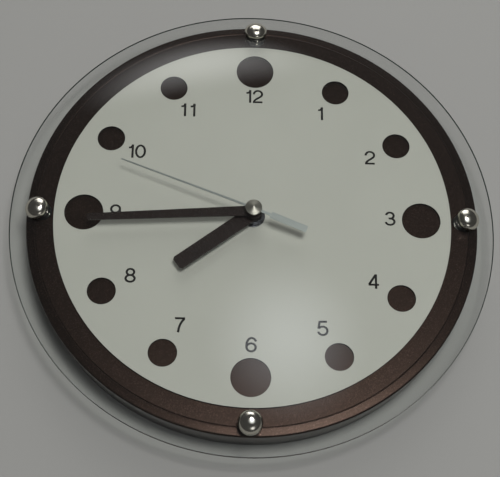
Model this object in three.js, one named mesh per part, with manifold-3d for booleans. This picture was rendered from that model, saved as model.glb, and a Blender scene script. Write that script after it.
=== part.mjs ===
// Round quartz wall clock with a domed glass, lying on its back with the dial up.
// Millimetres. Origin: middle of the rear rim. +Z out of the dial, +Y to 12 o'clock, +X to 3 o'clock.
import * as THREE from "three";
import { mergeVertices } from "three/addons/utils/BufferGeometryUtils.js";
import Module from "manifold-3d";

const wasm = await Module();
wasm.setup();

// Fits between pieces
const FACE_GAP = 0.1;
const TURNED_GAP = 0.3;
const RUNNING_GAP = 0.1;
const JOIN_DEPTH = 0.6;
const CUT_MARGIN = 1;

// Facets round a full circle
const LARGE_ROUND = 64;
const HOLE_ROUND = 24;
const SMALL_ROUND = 16;
const PIN_ROUND = 8;
const CORNER_FACETS = 4;
const DOME_RINGS = 6;

// Dial plate
const DOT_CIRCLE_RADIUS = 110.5;
const LARGE_DOT_RADIUS = 12.7;
const SMALL_DOT_RADIUS = 9.2;
const DIAL_MARGIN = 6.8;
const DIAL_RADIUS = DOT_CIRCLE_RADIUS + LARGE_DOT_RADIUS + DIAL_MARGIN;
const DIAL_THICKNESS = 1.6;
const HOURS = 12;

// Case, as wide as the dial and the screws round it need
const SCREWS_OUTSIDE_DIAL = 10.2;
const EDGE_OUTSIDE_SCREWS = 7.7;
const SCREW_CIRCLE_RADIUS = DIAL_RADIUS + SCREWS_OUTSIDE_DIAL;
const CASE_RADIUS = SCREW_CIRCLE_RADIUS + EDGE_OUTSIDE_SCREWS;
const CASE_TAPER = 2.4;
const CASE_REAR_RADIUS = CASE_RADIUS - CASE_TAPER;
const CASE_DEPTH = 26.3;
const CASE_WALL = 2.5;
const PANEL_THICKNESS = 2.5;
const GROOVE_FROM_EDGE = 5.9;
const GROOVE_RADIUS = CASE_RADIUS - GROOVE_FROM_EDGE;
const GROOVE_WIDTH = 1.1;
const GROOVE_DEPTH = 0.7;
const BAND_STEP = 0.25;
const BAND_DROP = 0.75;
const EDGE_ROUNDING = 1.2;

// Domed glass, wider than the case and held above its panel at the screws
const GLASS_OVERHANG = 12.1;
const GLASS_RADIUS = CASE_RADIUS + GLASS_OVERHANG;
const GLASS_THICKNESS = 3;
const GLASS_RISE = 40;
const GLASS_ABOVE_PANEL = 4.85;
const GLASS_RINGS = 7;
const GLASS_HOLE_RADIUS = 2.8;

// Glass screws, square to the glass
const SCREW_COUNT = 4;
const SCREW_NAMES = ["3", "12", "9", "6"];
const DOME_RADIUS = 7.8;
const DOME_HEIGHT = 6.2;
const DOME_LIP = 0.7;
const STUD_RADIUS = 1.9;
const STUD_END = 2;
const SPACER_RADIUS = 6.3;
const BOSS_RADIUS = 4.6;
const BOSS_LENGTH = 7;
const SCREW_NUT_FLATS = 7;
const SCREW_NUT_HEIGHT = 2.8;

// Movement housing
const MOVEMENT_SIZE = 56;
const MOVEMENT_CORNER = 3;
const MOVEMENT_WALL = 1.5;
const MOVEMENT_FRONT_WALL = 1.3;
const MOVEMENT_INSIDE_DEPTH = 13.55;
const GASKET_THICKNESS = 0.4;
const GASKET_RADIUS = 11;
const COVER_THICKNESS = 1.2;
const BUSHING_RADIUS = 4;
const BUSHING_ABOVE_DIAL = 3.6;
const PARTITION_WALL = 1.2;

// Nut and washer that clamp the movement to the case and the dial
const WASHER_RADIUS = 7.9;
const WASHER_THICKNESS = 0.7;
const NUT_FLATS = 11.4;
const NUT_HEIGHT = 2.3;

// Nested tubes on the centre line
const ARBOR_RADIUS = 0.5;
const TUBE_WALL = 0.8;
const POST_RADIUS = 0.4;

// Hands, all pointing to 12 before they are turned to the time
const HOUR_ANGLE = 232.2;
const MINUTE_ANGLE = 265.9;
const SECOND_ANGLE = 291.3;
const HOUR_HAND_LENGTH = 61.5;
const HOUR_HAND_ROOT_WIDTH = 10.1;
const HOUR_HAND_TIP_WIDTH = 9.8;
const HOUR_HAND_ABOVE_DIAL = 5.4;
const MINUTE_HAND_SHORT_OF_DOTS = 2.5;
const MINUTE_HAND_LENGTH = DOT_CIRCLE_RADIUS - MINUTE_HAND_SHORT_OF_DOTS;
const MINUTE_HAND_ROOT_WIDTH = 7.1;
const MINUTE_HAND_TIP_WIDTH = 4.8;
const MINUTE_HAND_ABOVE_DIAL = 8.6;
const HAND_THICKNESS = 0.6;
const HAND_TIP_CHAMFER = 1.5;
const HAND_COLLAR_HEIGHT = 1.5;
const HAND_COLLAR_WALL = 1.5;
const HAND_HUB_RADIUS = 5.8;
const SECOND_HAND_LENGTH = 93.6;
const SECOND_HAND_ROOT_WIDTH = 1.5;
const SECOND_HAND_TIP_WIDTH = 0.9;
const SECOND_HAND_DROP = 1.6;
const SECOND_HAND_ABOVE_DIAL = 12.8;
const SECOND_HAND_THICKNESS = 0.4;
const SECOND_HUB_RADIUS = 2.6;
const TAIL_LENGTH = 37.1;
const TAIL_DROP = 2.1;
const TAIL_WIDE_START = 12;
const TAIL_WIDTH = 4.7;
const TAIL_NECK_WIDTH = 2.6;
const SECOND_PIPE_LENGTH = 0.7;
const CAP_RADIUS = 5.45;
const CAP_BRIM = 0.9;
const CAP_CONE = 1.7;
const CAP_TIP_RADIUS = 0.5;

// Wheel train: teeth, modules and the direction of each axis from the axis that it hangs on
const TOOTH_ADDENDUM = 0.75;
const TOOTH_DEDENDUM = 1.05;
const TOOTH_TIP_SHARE = 0.18;
const TOOTH_ROOT_SHARE = 0.62;
const PINION_TEETH = 6;
const SECOND_WHEEL = { teeth: 36, module: 0.4 };
const FIFTH_WHEEL = { teeth: 30, module: 0.42 };
const THIRD_WHEEL = { teeth: 48, module: 0.38 };
const CENTER_WHEEL_TEETH = 45;
const CANNON_TEETH = 8;
const MINUTE_WHEEL = { teeth: 24, module: 0.54 };
const MINUTE_PINION_TEETH = 8;
const HOUR_WHEEL_TEETH = 32;
const SETTING_TEETH = 8;
const MINUTE_WHEEL_DIRECTION = 150;
const SETTING_DIRECTION = 120;
const THIRD_DIRECTION = 40;
const FIFTH_DIRECTION = 170;
const ROTOR_DIRECTION = 230;
const WHEEL_THICKNESS = 1;
const MOTION_THICKNESS = 1.4;
const LAYER_GAP = 0.5;
const HUB_RADIUS = 1;

// Motor and circuit
const MAGNET_RADIUS = 3;
const MAGNET_LENGTH = 2.2;
const STATOR_THICKNESS = 1;
const STATOR_ARM = 3;
const COIL_RADIUS = 3.2;
const COIL_LENGTH = 18;
const COIL_FLANGE = 0.8;
const CORE_THICKNESS = 1;
const BOARD_THICKNESS = 1;
const BOARD_WIDTH = 12;
const BOARD_LENGTH = 30;
const BOARD_STUD_INSET = 2;
const CRYSTAL_RADIUS = 1;
const CRYSTAL_LENGTH = 6;
const CHIP_SIZE = 4;
const CHIP_HEIGHT = 1;
const STUD_SUPPORT_RADIUS = 0.8;

// Setting arbor and knob
const SETTING_ARBOR_RADIUS = 1.5;
const KNOB_RADIUS = 5;
const KNOB_HEIGHT = 2.6;
const KNOB_RIBS = 12;

// Battery, AA size, and its contacts
const BATTERY_RADIUS = 7.1;
const BATTERY_LENGTH = 49.3;
const BATTERY_NUB_RADIUS = 2.7;
const BATTERY_NUB_LENGTH = 1.1;
const BAY_CLEARANCE = 0.15;
const CONTACT_THICKNESS = 0.35;
const CONTACT_BOW = 1.5;
const CONTACT_HEIGHT = 9;

// Wall hanger plate with a keyhole, on two bosses behind the panel
const HANGER_FROM_EDGE = 42.9;
const HANGER_Y = CASE_RADIUS - HANGER_FROM_EDGE;
const HANGER_WIDTH = 50;
const HANGER_HEIGHT = 22;
const HANGER_THICKNESS = 1.2;
const HANGER_RAISED_WIDTH = 26;
const HANGER_RAISE = 2.2;
const HANGER_FROM_WALL = 1;
const HANGER_SCREW_SPACING = 38;
const HANGER_BOSS_RADIUS = 4;
const HANGER_SCREW_RADIUS = 1.4;
const HANGER_SCREW_LENGTH = 8;
const HANGER_HEAD_RADIUS = 2.8;
const HANGER_HEAD_HEIGHT = 1.5;
const KEYHOLE_RADIUS = 5;
const KEYHOLE_SLOT_WIDTH = 5;
const KEYHOLE_LENGTH = 9;

// Levels worked out from the sizes above
const PANEL_FRONT = CASE_DEPTH;
const PANEL_REAR = PANEL_FRONT - PANEL_THICKNESS;
const DIAL_REAR = PANEL_FRONT + FACE_GAP;
const DIAL_FRONT = DIAL_REAR + DIAL_THICKNESS;
const GLASS_CURVE = (GLASS_RADIUS ** 2 + GLASS_RISE ** 2) / (2 * GLASS_RISE);
const SCREW_TILT = Math.asin(SCREW_CIRCLE_RADIUS / GLASS_CURVE);
const SCREW_Z = PANEL_FRONT + GLASS_ABOVE_PANEL;
const GLASS_CENTER = SCREW_Z - GLASS_CURVE * Math.cos(SCREW_TILT);
const GLASS_HALF = GLASS_THICKNESS / 2;
const PANEL_ON_SCREW = (PANEL_FRONT - SCREW_Z) / Math.cos(SCREW_TILT);
const BOSS_END = PANEL_ON_SCREW - BOSS_LENGTH;
const NUT_TOP = BOSS_END - TURNED_GAP;
const DOME_BASE = GLASS_HALF + TURNED_GAP;

const HOUSING_FRONT = PANEL_REAR - GASKET_THICKNESS - 2 * FACE_GAP;
const HOUSING_INSIDE = HOUSING_FRONT - MOVEMENT_FRONT_WALL;
const HOUSING_REAR = HOUSING_INSIDE - MOVEMENT_INSIDE_DEPTH;
const COVER_FRONT = HOUSING_REAR - FACE_GAP;
const COVER_REAR = COVER_FRONT - COVER_THICKNESS;
const BUSHING_TOP = DIAL_FRONT + BUSHING_ABOVE_DIAL;

// Layers of the train, front to rear: each layer is [rear, front]
const layerUnder = (top, thickness) => [top - thickness, top];
const HOUR_LAYER = layerUnder(HOUSING_INSIDE - LAYER_GAP, MOTION_THICKNESS);
const MOTION_LAYER = layerUnder(HOUR_LAYER[0] - LAYER_GAP, MOTION_THICKNESS);
const CENTER_LAYER = layerUnder(MOTION_LAYER[0] - LAYER_GAP, WHEEL_THICKNESS);
const THIRD_LAYER = layerUnder(CENTER_LAYER[0] - LAYER_GAP, WHEEL_THICKNESS);
const SECOND_LAYER = layerUnder(THIRD_LAYER[0] - LAYER_GAP, WHEEL_THICKNESS);
const FIFTH_LAYER = layerUnder(SECOND_LAYER[0] - LAYER_GAP, WHEEL_THICKNESS);
const MAGNET_LAYER = layerUnder(FIFTH_LAYER[0] - LAYER_GAP, MAGNET_LENGTH);
const STATOR_LAYER = layerUnder(MAGNET_LAYER[1] - (MAGNET_LENGTH - STATOR_THICKNESS) / 2, STATOR_THICKNESS);
const HUB_REAR = COVER_FRONT + LAYER_GAP;

const CANNON_BORE = ARBOR_RADIUS + RUNNING_GAP;
const CANNON_RADIUS = CANNON_BORE + TUBE_WALL;
const HOUR_BORE = CANNON_RADIUS + RUNNING_GAP;
const HOUR_TUBE_RADIUS = HOUR_BORE + TUBE_WALL;
const BUSHING_BORE = HOUR_TUBE_RADIUS + RUNNING_GAP;
const WHEEL_BORE = POST_RADIUS + RUNNING_GAP;
const BUSHING_HOLE = BUSHING_RADIUS + TURNED_GAP;
const HOUR_HAND_REAR = DIAL_FRONT + HOUR_HAND_ABOVE_DIAL;
const MINUTE_HAND_REAR = DIAL_FRONT + MINUTE_HAND_ABOVE_DIAL;
const SECOND_HAND_REAR = DIAL_FRONT + SECOND_HAND_ABOVE_DIAL;
const CAP_REAR = SECOND_HAND_REAR + SECOND_HAND_THICKNESS + FACE_GAP;
const CAP_TOP = CAP_REAR + CAP_BRIM + CAP_CONE;
const ARBOR_TOP = CAP_REAR + CAP_BRIM;

// Axes of the train in plan
const degrees = THREE.MathUtils.degToRad;
const axisAt = (from, distance, direction) => new THREE.Vector2(
  from.x + distance * Math.cos(degrees(direction)),
  from.y + distance * Math.sin(degrees(direction)),
);
const spacing = (wheel, teeth) => wheel.module * (wheel.teeth + teeth) / 2;
const CENTER = new THREE.Vector2(0, 0);
const MINUTE_WHEEL_AXIS = axisAt(CENTER, spacing(MINUTE_WHEEL, CANNON_TEETH), MINUTE_WHEEL_DIRECTION);
const SETTING_AXIS = axisAt(MINUTE_WHEEL_AXIS, spacing(MINUTE_WHEEL, SETTING_TEETH), SETTING_DIRECTION);
const THIRD_AXIS = axisAt(CENTER, spacing(THIRD_WHEEL, PINION_TEETH), THIRD_DIRECTION);
const FIFTH_AXIS = axisAt(CENTER, spacing(SECOND_WHEEL, PINION_TEETH), FIFTH_DIRECTION);
const ROTOR_AXIS = axisAt(FIFTH_AXIS, spacing(FIFTH_WHEEL, PINION_TEETH), ROTOR_DIRECTION);
const CENTER_WHEEL = {
  teeth: CENTER_WHEEL_TEETH,
  module: 2 * THIRD_AXIS.length() / (CENTER_WHEEL_TEETH + PINION_TEETH),
};
const HOUR_WHEEL = {
  teeth: HOUR_WHEEL_TEETH,
  module: 2 * MINUTE_WHEEL_AXIS.length() / (HOUR_WHEEL_TEETH + MINUTE_PINION_TEETH),
};

// Battery bay in plan
const BAY_INSIDE_X = MOVEMENT_SIZE / 2 - MOVEMENT_WALL;
const BAY_LOW_Y = -BAY_INSIDE_X;
const BATTERY_Y = BAY_LOW_Y + BAY_CLEARANCE + BATTERY_RADIUS;
const BAY_HIGH_Y = BATTERY_Y + BATTERY_RADIUS + BAY_CLEARANCE;
const TRAIN_LOW_Y = BAY_HIGH_Y + PARTITION_WALL;
const BATTERY_Z = HOUSING_INSIDE - BAY_CLEARANCE - BATTERY_RADIUS;
const NUB_END_X = BAY_INSIDE_X - CONTACT_THICKNESS - 2 * FACE_GAP;
const BATTERY_PLUS_X = NUB_END_X - BATTERY_NUB_LENGTH;
const BATTERY_MINUS_X = BATTERY_PLUS_X - BATTERY_LENGTH;

// Solids: three.js geometry in, one closed body out
function solidOf(geometry) {
  const bare = new THREE.BufferGeometry();
  bare.setAttribute("position", geometry.getAttribute("position").clone());
  if (geometry.index) bare.setIndex(geometry.index.clone());
  const merged = mergeVertices(bare, 1e-5);
  const vertProperties = new Float32Array(merged.getAttribute("position").array);
  const corners = [...merged.index.array];
  const triVerts = [];
  for (let i = 0; i < corners.length; i += 3) {
    const [a, b, c] = corners.slice(i, i + 3);
    if (a !== b && b !== c && c !== a) triVerts.push(a, b, c);
  }
  const mesh = new wasm.Mesh({ numProp: 3, vertProperties, triVerts: new Uint32Array(triVerts) });
  return new wasm.Manifold(mesh);
}

function geometryOf(solid) {
  const mesh = solid.getMesh();
  const geometry = new THREE.BufferGeometry();
  geometry.setAttribute("position", new THREE.BufferAttribute(new Float32Array(mesh.vertProperties), 3));
  geometry.setIndex(new THREE.BufferAttribute(new Uint32Array(mesh.triVerts), 1));
  geometry.computeVertexNormals();
  return geometry;
}

function join(first, ...rest) {
  return geometryOf(rest.reduce((solid, geometry) => solid.add(solidOf(geometry)), solidOf(first)));
}

function cut(body, ...tools) {
  return geometryOf(tools.reduce((solid, geometry) => solid.subtract(solidOf(geometry)), solidOf(body)));
}

// A turned solid about Z from a profile of [radius, z], given from the top of the axis outward and back
function turned(profile, segments) {
  const points = profile.map(([radius, z]) => new THREE.Vector2(radius, -z));
  return new THREE.LatheGeometry(points, segments).rotateX(-Math.PI / 2);
}

function disc(radius, rear, front, segments = SMALL_ROUND) {
  return turned([[0, front], [radius, front], [radius, rear], [0, rear]], segments);
}

// A drill: its flats, not its corners, lie on the radius, so that a round pin of less radius clears it
function drill(radius, rear, front, segments = SMALL_ROUND) {
  return disc(radius / Math.cos(Math.PI / segments), rear, front, segments);
}

function ring(bore, radius, rear, front, segments = SMALL_ROUND) {
  return turned([[bore, front], [radius, front], [radius, rear], [bore, rear], [bore, front]], segments);
}

function extruded(shape, rear, front, curveSegments = SMALL_ROUND) {
  const options = { depth: front - rear, bevelEnabled: false, curveSegments };
  return new THREE.ExtrudeGeometry(shape, options).translate(0, 0, rear);
}

function block(x0, x1, y0, y1, z0, z1) {
  const middle = [(x0 + x1) / 2, (y0 + y1) / 2, (z0 + z1) / 2];
  return new THREE.BoxGeometry(x1 - x0, y1 - y0, z1 - z0).translate(...middle);
}

function polygon(points) {
  return new THREE.Shape(points.map(([x, y]) => new THREE.Vector2(x, y)));
}

function facetedCircle(x, y, radius, facets) {
  return new THREE.EllipseCurve(x, y, radius, radius, 0, 2 * Math.PI).getPoints(facets).slice(0, facets);
}

// A round hole whose flats, not its corners, lie on the radius
function roundHole(x, y, radius, facets = SMALL_ROUND) {
  return new THREE.Path(facetedCircle(x, y, radius / Math.cos(Math.PI / facets), facets));
}

function roundedBox(x0, x1, y0, y1, corner) {
  const shape = new THREE.Shape();
  shape.absarc(x1 - corner, y1 - corner, corner, 0, Math.PI / 2);
  shape.absarc(x0 + corner, y1 - corner, corner, Math.PI / 2, Math.PI);
  shape.absarc(x0 + corner, y0 + corner, corner, Math.PI, 1.5 * Math.PI);
  shape.absarc(x1 - corner, y0 + corner, corner, 1.5 * Math.PI, 2 * Math.PI);
  return shape;
}

function hexagon(flats) {
  const corner = flats / Math.sqrt(3);
  return polygon([0, 1, 2, 3, 4, 5].map((k) => [
    corner * Math.cos(k * Math.PI / 3),
    corner * Math.sin(k * Math.PI / 3),
  ]));
}

// Toothed discs: straight-flanked teeth, thinner than the gaps that they turn in
function toothed({ teeth, module }, phase, layer, bore = 0) {
  const root = module * (teeth / 2 - TOOTH_DEDENDUM);
  const tip = module * (teeth / 2 + TOOTH_ADDENDUM);
  const pitch = 2 * Math.PI / teeth;
  const outline = [];
  for (let k = 0; k < teeth; k += 1) {
    const middle = phase + k * pitch;
    const corners = [
      [root, -TOOTH_ROOT_SHARE / 2],
      [tip, -TOOTH_TIP_SHARE / 2],
      [tip, TOOTH_TIP_SHARE / 2],
      [root, TOOTH_ROOT_SHARE / 2],
    ];
    for (const [radius, share] of corners) {
      const angle = middle + share * pitch;
      outline.push([radius * Math.cos(angle), radius * Math.sin(angle)]);
    }
  }
  const shape = polygon(outline);
  if (bore > 0) shape.holes.push(roundHole(0, 0, bore));
  return extruded(shape, layer[0], layer[1]);
}

// Phase of a follower that puts a gap where the driver has a tooth, on the line between their axes
function meshPhase(driverTeeth, driverPhase, followerTeeth, fromAxis, toAxis) {
  const direction = Math.atan2(toAxis.y - fromAxis.y, toAxis.x - fromAxis.x);
  const driverShare = (direction - driverPhase) / (2 * Math.PI / driverTeeth);
  return direction + Math.PI - (2 * Math.PI / followerTeeth) * (0.5 - driverShare);
}

// Materials and nodes
const clock = new THREE.Group();

function piece(parent, name, geometry, color, roughness, metalness = 0, extra = {}) {
  const material = new THREE.MeshStandardMaterial({ color, roughness, metalness, ...extra });
  const mesh = new THREE.Mesh(geometry, material);
  mesh.name = name;
  parent.add(mesh);
  return mesh;
}

function groupAt(axis) {
  const group = new THREE.Group();
  group.position.set(axis.x, axis.y, 0);
  clock.add(group);
  return group;
}

const BROWN_PAINT = 0x4a3833;
const DIAL_WHITE = 0xdcdcda;
const HAND_BROWN = 0x382c2a;
const CHROME = 0xd8dadc;
const STEEL = 0xb4b6b8;
const BRASS = 0xc0a060;
const BLACK_RUBBER = 0x18181a;
const HOUSING_BLACK = 0x232325;
const GEAR_WHITE = 0xe6e2d4;

// Screw frame at 3 o'clock: local Z runs out along the glass normal, zero on the middle of the glass
const screwFrame = new THREE.Matrix4()
  .makeTranslation(SCREW_CIRCLE_RADIUS, 0, SCREW_Z)
  .multiply(new THREE.Matrix4().makeRotationY(SCREW_TILT));
const screwTurn = (k) => new THREE.Matrix4().makeRotationZ(k * 2 * Math.PI / SCREW_COUNT);

function atScrew(geometry, k) {
  return geometry.clone().applyMatrix4(screwFrame).applyMatrix4(screwTurn(k));
}

const screwIndexes = [...Array(SCREW_COUNT).keys()];
const hangerSides = [["left", -1], ["right", 1]];
const hangerScrewX = HANGER_SCREW_SPACING / 2;
const hangerBossEnd = HANGER_FROM_WALL + HANGER_RAISE + HANGER_THICKNESS + FACE_GAP;

function makeCase() {
  const bandInner = PANEL_FRONT - BAND_STEP;
  const bandOuter = bandInner - BAND_DROP;
  const rounding = [];
  for (const turn of [0, 30, 60, 90]) {
    rounding.push([
      CASE_RADIUS - EDGE_ROUNDING * (1 - Math.sin(degrees(turn))),
      bandOuter - EDGE_ROUNDING * (1 - Math.cos(degrees(turn))),
    ]);
  }
  const shell = turned([
    [0, PANEL_FRONT],
    [GROOVE_RADIUS - GROOVE_WIDTH / 2, PANEL_FRONT],
    [GROOVE_RADIUS, PANEL_FRONT - GROOVE_DEPTH],
    [GROOVE_RADIUS + GROOVE_WIDTH / 2, bandInner],
    ...rounding,
    [CASE_REAR_RADIUS, 0],
    [CASE_REAR_RADIUS - CASE_WALL, 0],
    [CASE_RADIUS - CASE_WALL, PANEL_REAR],
    [0, PANEL_REAR],
  ], LARGE_ROUND);
  const boss = disc(BOSS_RADIUS, BOSS_END, PANEL_ON_SCREW);
  const overPanel = disc(CASE_RADIUS + CUT_MARGIN, PANEL_REAR + JOIN_DEPTH, SCREW_Z, LARGE_ROUND);
  const clearance = drill(STUD_RADIUS + TURNED_GAP, BOSS_END - CUT_MARGIN, GLASS_HALF, PIN_ROUND);
  const bosses = screwIndexes.map((k) => cut(atScrew(boss, k), overPanel));
  const hangerBosses = hangerSides.map(([, side]) => (
    disc(HANGER_BOSS_RADIUS, hangerBossEnd, PANEL_REAR + JOIN_DEPTH)
      .translate(side * hangerScrewX, HANGER_Y, 0)
  ));
  const hangerBores = hangerSides.map(([, side]) => (
    drill(HANGER_SCREW_RADIUS + FACE_GAP, hangerBossEnd - CUT_MARGIN,
      hangerBossEnd + HANGER_SCREW_LENGTH, PIN_ROUND).translate(side * hangerScrewX, HANGER_Y, 0)
  ));
  const bushingHole = drill(BUSHING_HOLE, PANEL_REAR - CUT_MARGIN, PANEL_FRONT + CUT_MARGIN, HOLE_ROUND);
  return cut(
    join(shell, ...bosses, ...hangerBosses),
    bushingHole,
    ...hangerBores,
    ...screwIndexes.map((k) => atScrew(clearance, k)),
  );
}

function makeDial() {
  const rim = new THREE.Shape(facetedCircle(0, 0, DIAL_RADIUS, LARGE_ROUND));
  rim.holes.push(new THREE.Path(facetedCircle(0, 0, BUSHING_HOLE, HOLE_ROUND)));
  for (let hour = 0; hour < HOURS; hour += 1) {
    const angle = 2 * Math.PI * hour / HOURS;
    const radius = hour % 3 === 0 ? LARGE_DOT_RADIUS : SMALL_DOT_RADIUS;
    const x = DOT_CIRCLE_RADIUS * Math.sin(angle);
    const y = DOT_CIRCLE_RADIUS * Math.cos(angle);
    rim.holes.push(new THREE.Path(facetedCircle(x, y, radius, HOLE_ROUND)));
  }
  return extruded(rim, DIAL_REAR, DIAL_FRONT);
}

// The glass has a ring of corners on the screw circle, so that it is true where the spacers bear on it
function makeGlass() {
  const surface = (radius) => {
    const at = (turn) => [radius * Math.sin(turn), GLASS_CENTER + radius * Math.cos(turn)];
    const points = [[0, GLASS_CENTER + radius]];
    for (let k = 1; k <= GLASS_RINGS; k += 1) points.push(at(SCREW_TILT * k / GLASS_RINGS));
    points.push(at(Math.asin(GLASS_RADIUS / radius)));
    return points;
  };
  const front = surface(GLASS_CURVE + GLASS_HALF);
  const rear = surface(GLASS_CURVE - GLASS_HALF).reverse();
  const shell = turned([...front, ...rear], LARGE_ROUND);
  const hole = drill(GLASS_HOLE_RADIUS, -GLASS_THICKNESS, GLASS_THICKNESS, PIN_ROUND);
  return cut(shell, ...screwIndexes.map((k) => atScrew(hole, k)));
}

function domeScrew() {
  const profile = [];
  for (let k = 0; k <= DOME_RINGS; k += 1) {
    const turn = (Math.PI / 2) * k / DOME_RINGS;
    profile.push([
      DOME_RADIUS * Math.sin(turn),
      DOME_BASE + DOME_LIP + (DOME_HEIGHT - DOME_LIP) * Math.cos(turn),
    ]);
  }
  profile[0][0] = 0;
  const studEnd = NUT_TOP - SCREW_NUT_HEIGHT - STUD_END;
  return turned([
    ...profile,
    [DOME_RADIUS, DOME_BASE],
    [STUD_RADIUS, DOME_BASE],
    [STUD_RADIUS, studEnd],
    [0, studEnd],
  ], SMALL_ROUND);
}

// Spacer between panel and glass, cut flat where it stands on the panel, with a sleeve through the glass
function glassSpacer() {
  const bore = STUD_RADIUS + RUNNING_GAP;
  const sleeve = GLASS_HOLE_RADIUS - TURNED_GAP;
  const seat = -GLASS_HALF - TURNED_GAP;
  const foot = PANEL_ON_SCREW - SPACER_RADIUS;
  const body = turned([
    [bore, GLASS_HALF],
    [sleeve, GLASS_HALF],
    [sleeve, seat],
    [SPACER_RADIUS, seat],
    [SPACER_RADIUS, foot],
    [bore, foot],
    [bore, GLASS_HALF],
  ], SMALL_ROUND).applyMatrix4(screwFrame);
  const under = disc(GLASS_RADIUS + CUT_MARGIN, 0, PANEL_FRONT + TURNED_GAP, LARGE_ROUND);
  return cut(body, under);
}

function hexNut(flats, bore, rear, front) {
  const shape = hexagon(flats);
  shape.holes.push(roundHole(0, 0, bore));
  return extruded(shape, rear, front);
}

function makeScrews() {
  const nut = hexNut(SCREW_NUT_FLATS, STUD_RADIUS + RUNNING_GAP, NUT_TOP - SCREW_NUT_HEIGHT, NUT_TOP);
  for (const k of screwIndexes) {
    const side = new THREE.Group();
    side.rotation.z = k * 2 * Math.PI / SCREW_COUNT;
    clock.add(side);
    const tilted = new THREE.Group();
    tilted.position.set(SCREW_CIRCLE_RADIUS, 0, SCREW_Z);
    tilted.rotation.y = SCREW_TILT;
    side.add(tilted);
    piece(tilted, `screw_dome_${SCREW_NAMES[k]}`, domeScrew(), CHROME, 0.08, 1);
    piece(tilted, `screw_nut_${SCREW_NAMES[k]}`, nut.clone(), STEEL, 0.35, 1);
    piece(side, `glass_spacer_${SCREW_NAMES[k]}`, glassSpacer(), BLACK_RUBBER, 0.7);
  }
}

// Hands: a flat blade along +Y with a round hub and a collar that grips its tube
function bladeHand(length, rootWidth, tipWidth, bore, rear) {
  const root = rootWidth / 2;
  const tip = tipWidth / 2;
  const blade = polygon([
    [-root, 0],
    [root, 0],
    [tip, length - HAND_TIP_CHAMFER],
    [tip - HAND_TIP_CHAMFER, length],
    [HAND_TIP_CHAMFER - tip, length],
    [-tip, length - HAND_TIP_CHAMFER],
  ]);
  const front = rear + HAND_THICKNESS;
  const hub = disc(HAND_HUB_RADIUS, rear, front);
  const collar = disc(bore + HAND_COLLAR_WALL, rear - HAND_COLLAR_HEIGHT, front);
  const hole = drill(bore, rear - HAND_COLLAR_HEIGHT - CUT_MARGIN, front + CUT_MARGIN);
  return cut(join(extruded(blade, rear, front), hub, collar), hole);
}

// The pointer and the tail both slope down from the hub
function secondHand() {
  const rear = SECOND_HAND_REAR;
  const front = rear + SECOND_HAND_THICKNESS;
  const root = SECOND_HAND_ROOT_WIDTH / 2;
  const tip = SECOND_HAND_TIP_WIDTH / 2;
  const neckHalf = TAIL_NECK_WIDTH / 2;
  const tailHalf = TAIL_WIDTH / 2;
  const pointer = extruded(
    polygon([[-root, 0], [root, 0], [tip, SECOND_HAND_LENGTH], [-tip, SECOND_HAND_LENGTH]]),
    0, SECOND_HAND_THICKNESS,
  ).rotateX(-Math.atan(SECOND_HAND_DROP / SECOND_HAND_LENGTH)).translate(0, 0, rear);
  const tail = extruded(
    polygon([
      [-neckHalf, 0], [-neckHalf, -TAIL_WIDE_START], [-tailHalf, -TAIL_WIDE_START], [-tailHalf, -TAIL_LENGTH],
      [tailHalf, -TAIL_LENGTH], [tailHalf, -TAIL_WIDE_START], [neckHalf, -TAIL_WIDE_START], [neckHalf, 0],
    ]),
    0, SECOND_HAND_THICKNESS,
  ).rotateX(Math.atan(TAIL_DROP / TAIL_LENGTH)).translate(0, 0, rear);
  const hub = disc(SECOND_HUB_RADIUS, rear, front);
  const bore = ARBOR_RADIUS + RUNNING_GAP;
  const pipe = disc(bore + TUBE_WALL, rear - SECOND_PIPE_LENGTH, front, PIN_ROUND);
  const hole = drill(bore, rear - SECOND_PIPE_LENGTH - CUT_MARGIN, front + CUT_MARGIN, PIN_ROUND);
  return cut(join(pointer, tail, hub, pipe), hole);
}

function secondCap() {
  const bore = ARBOR_RADIUS + RUNNING_GAP;
  const socket = ARBOR_TOP + FACE_GAP;
  return turned([
    [0, CAP_TOP],
    [CAP_TIP_RADIUS, CAP_TOP],
    [CAP_RADIUS, CAP_REAR + CAP_BRIM],
    [CAP_RADIUS, CAP_REAR],
    [bore, CAP_REAR],
    [bore, socket],
    [0, socket],
  ], HOLE_ROUND);
}

function turnedHand(name, geometry, angle, color, roughness, metalness) {
  const hand = piece(clock, name, geometry, color, roughness, metalness);
  hand.rotation.z = -degrees(angle);
}

function makeHands() {
  const hourBore = HOUR_TUBE_RADIUS + FACE_GAP;
  const minuteBore = CANNON_RADIUS + FACE_GAP;
  const hourHand = bladeHand(
    HOUR_HAND_LENGTH, HOUR_HAND_ROOT_WIDTH, HOUR_HAND_TIP_WIDTH, hourBore, HOUR_HAND_REAR,
  );
  const minuteHand = bladeHand(
    MINUTE_HAND_LENGTH, MINUTE_HAND_ROOT_WIDTH, MINUTE_HAND_TIP_WIDTH, minuteBore, MINUTE_HAND_REAR,
  );
  turnedHand("hour_hand", hourHand, HOUR_ANGLE, HAND_BROWN, 0.5, 0.2);
  turnedHand("minute_hand", minuteHand, MINUTE_ANGLE, HAND_BROWN, 0.5, 0.2);
  turnedHand("second_hand", secondHand(), SECOND_ANGLE, STEEL, 0.35, 0.9);
  piece(clock, "second_hand_cap", secondCap(), STEEL, 0.25, 1);
}

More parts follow.
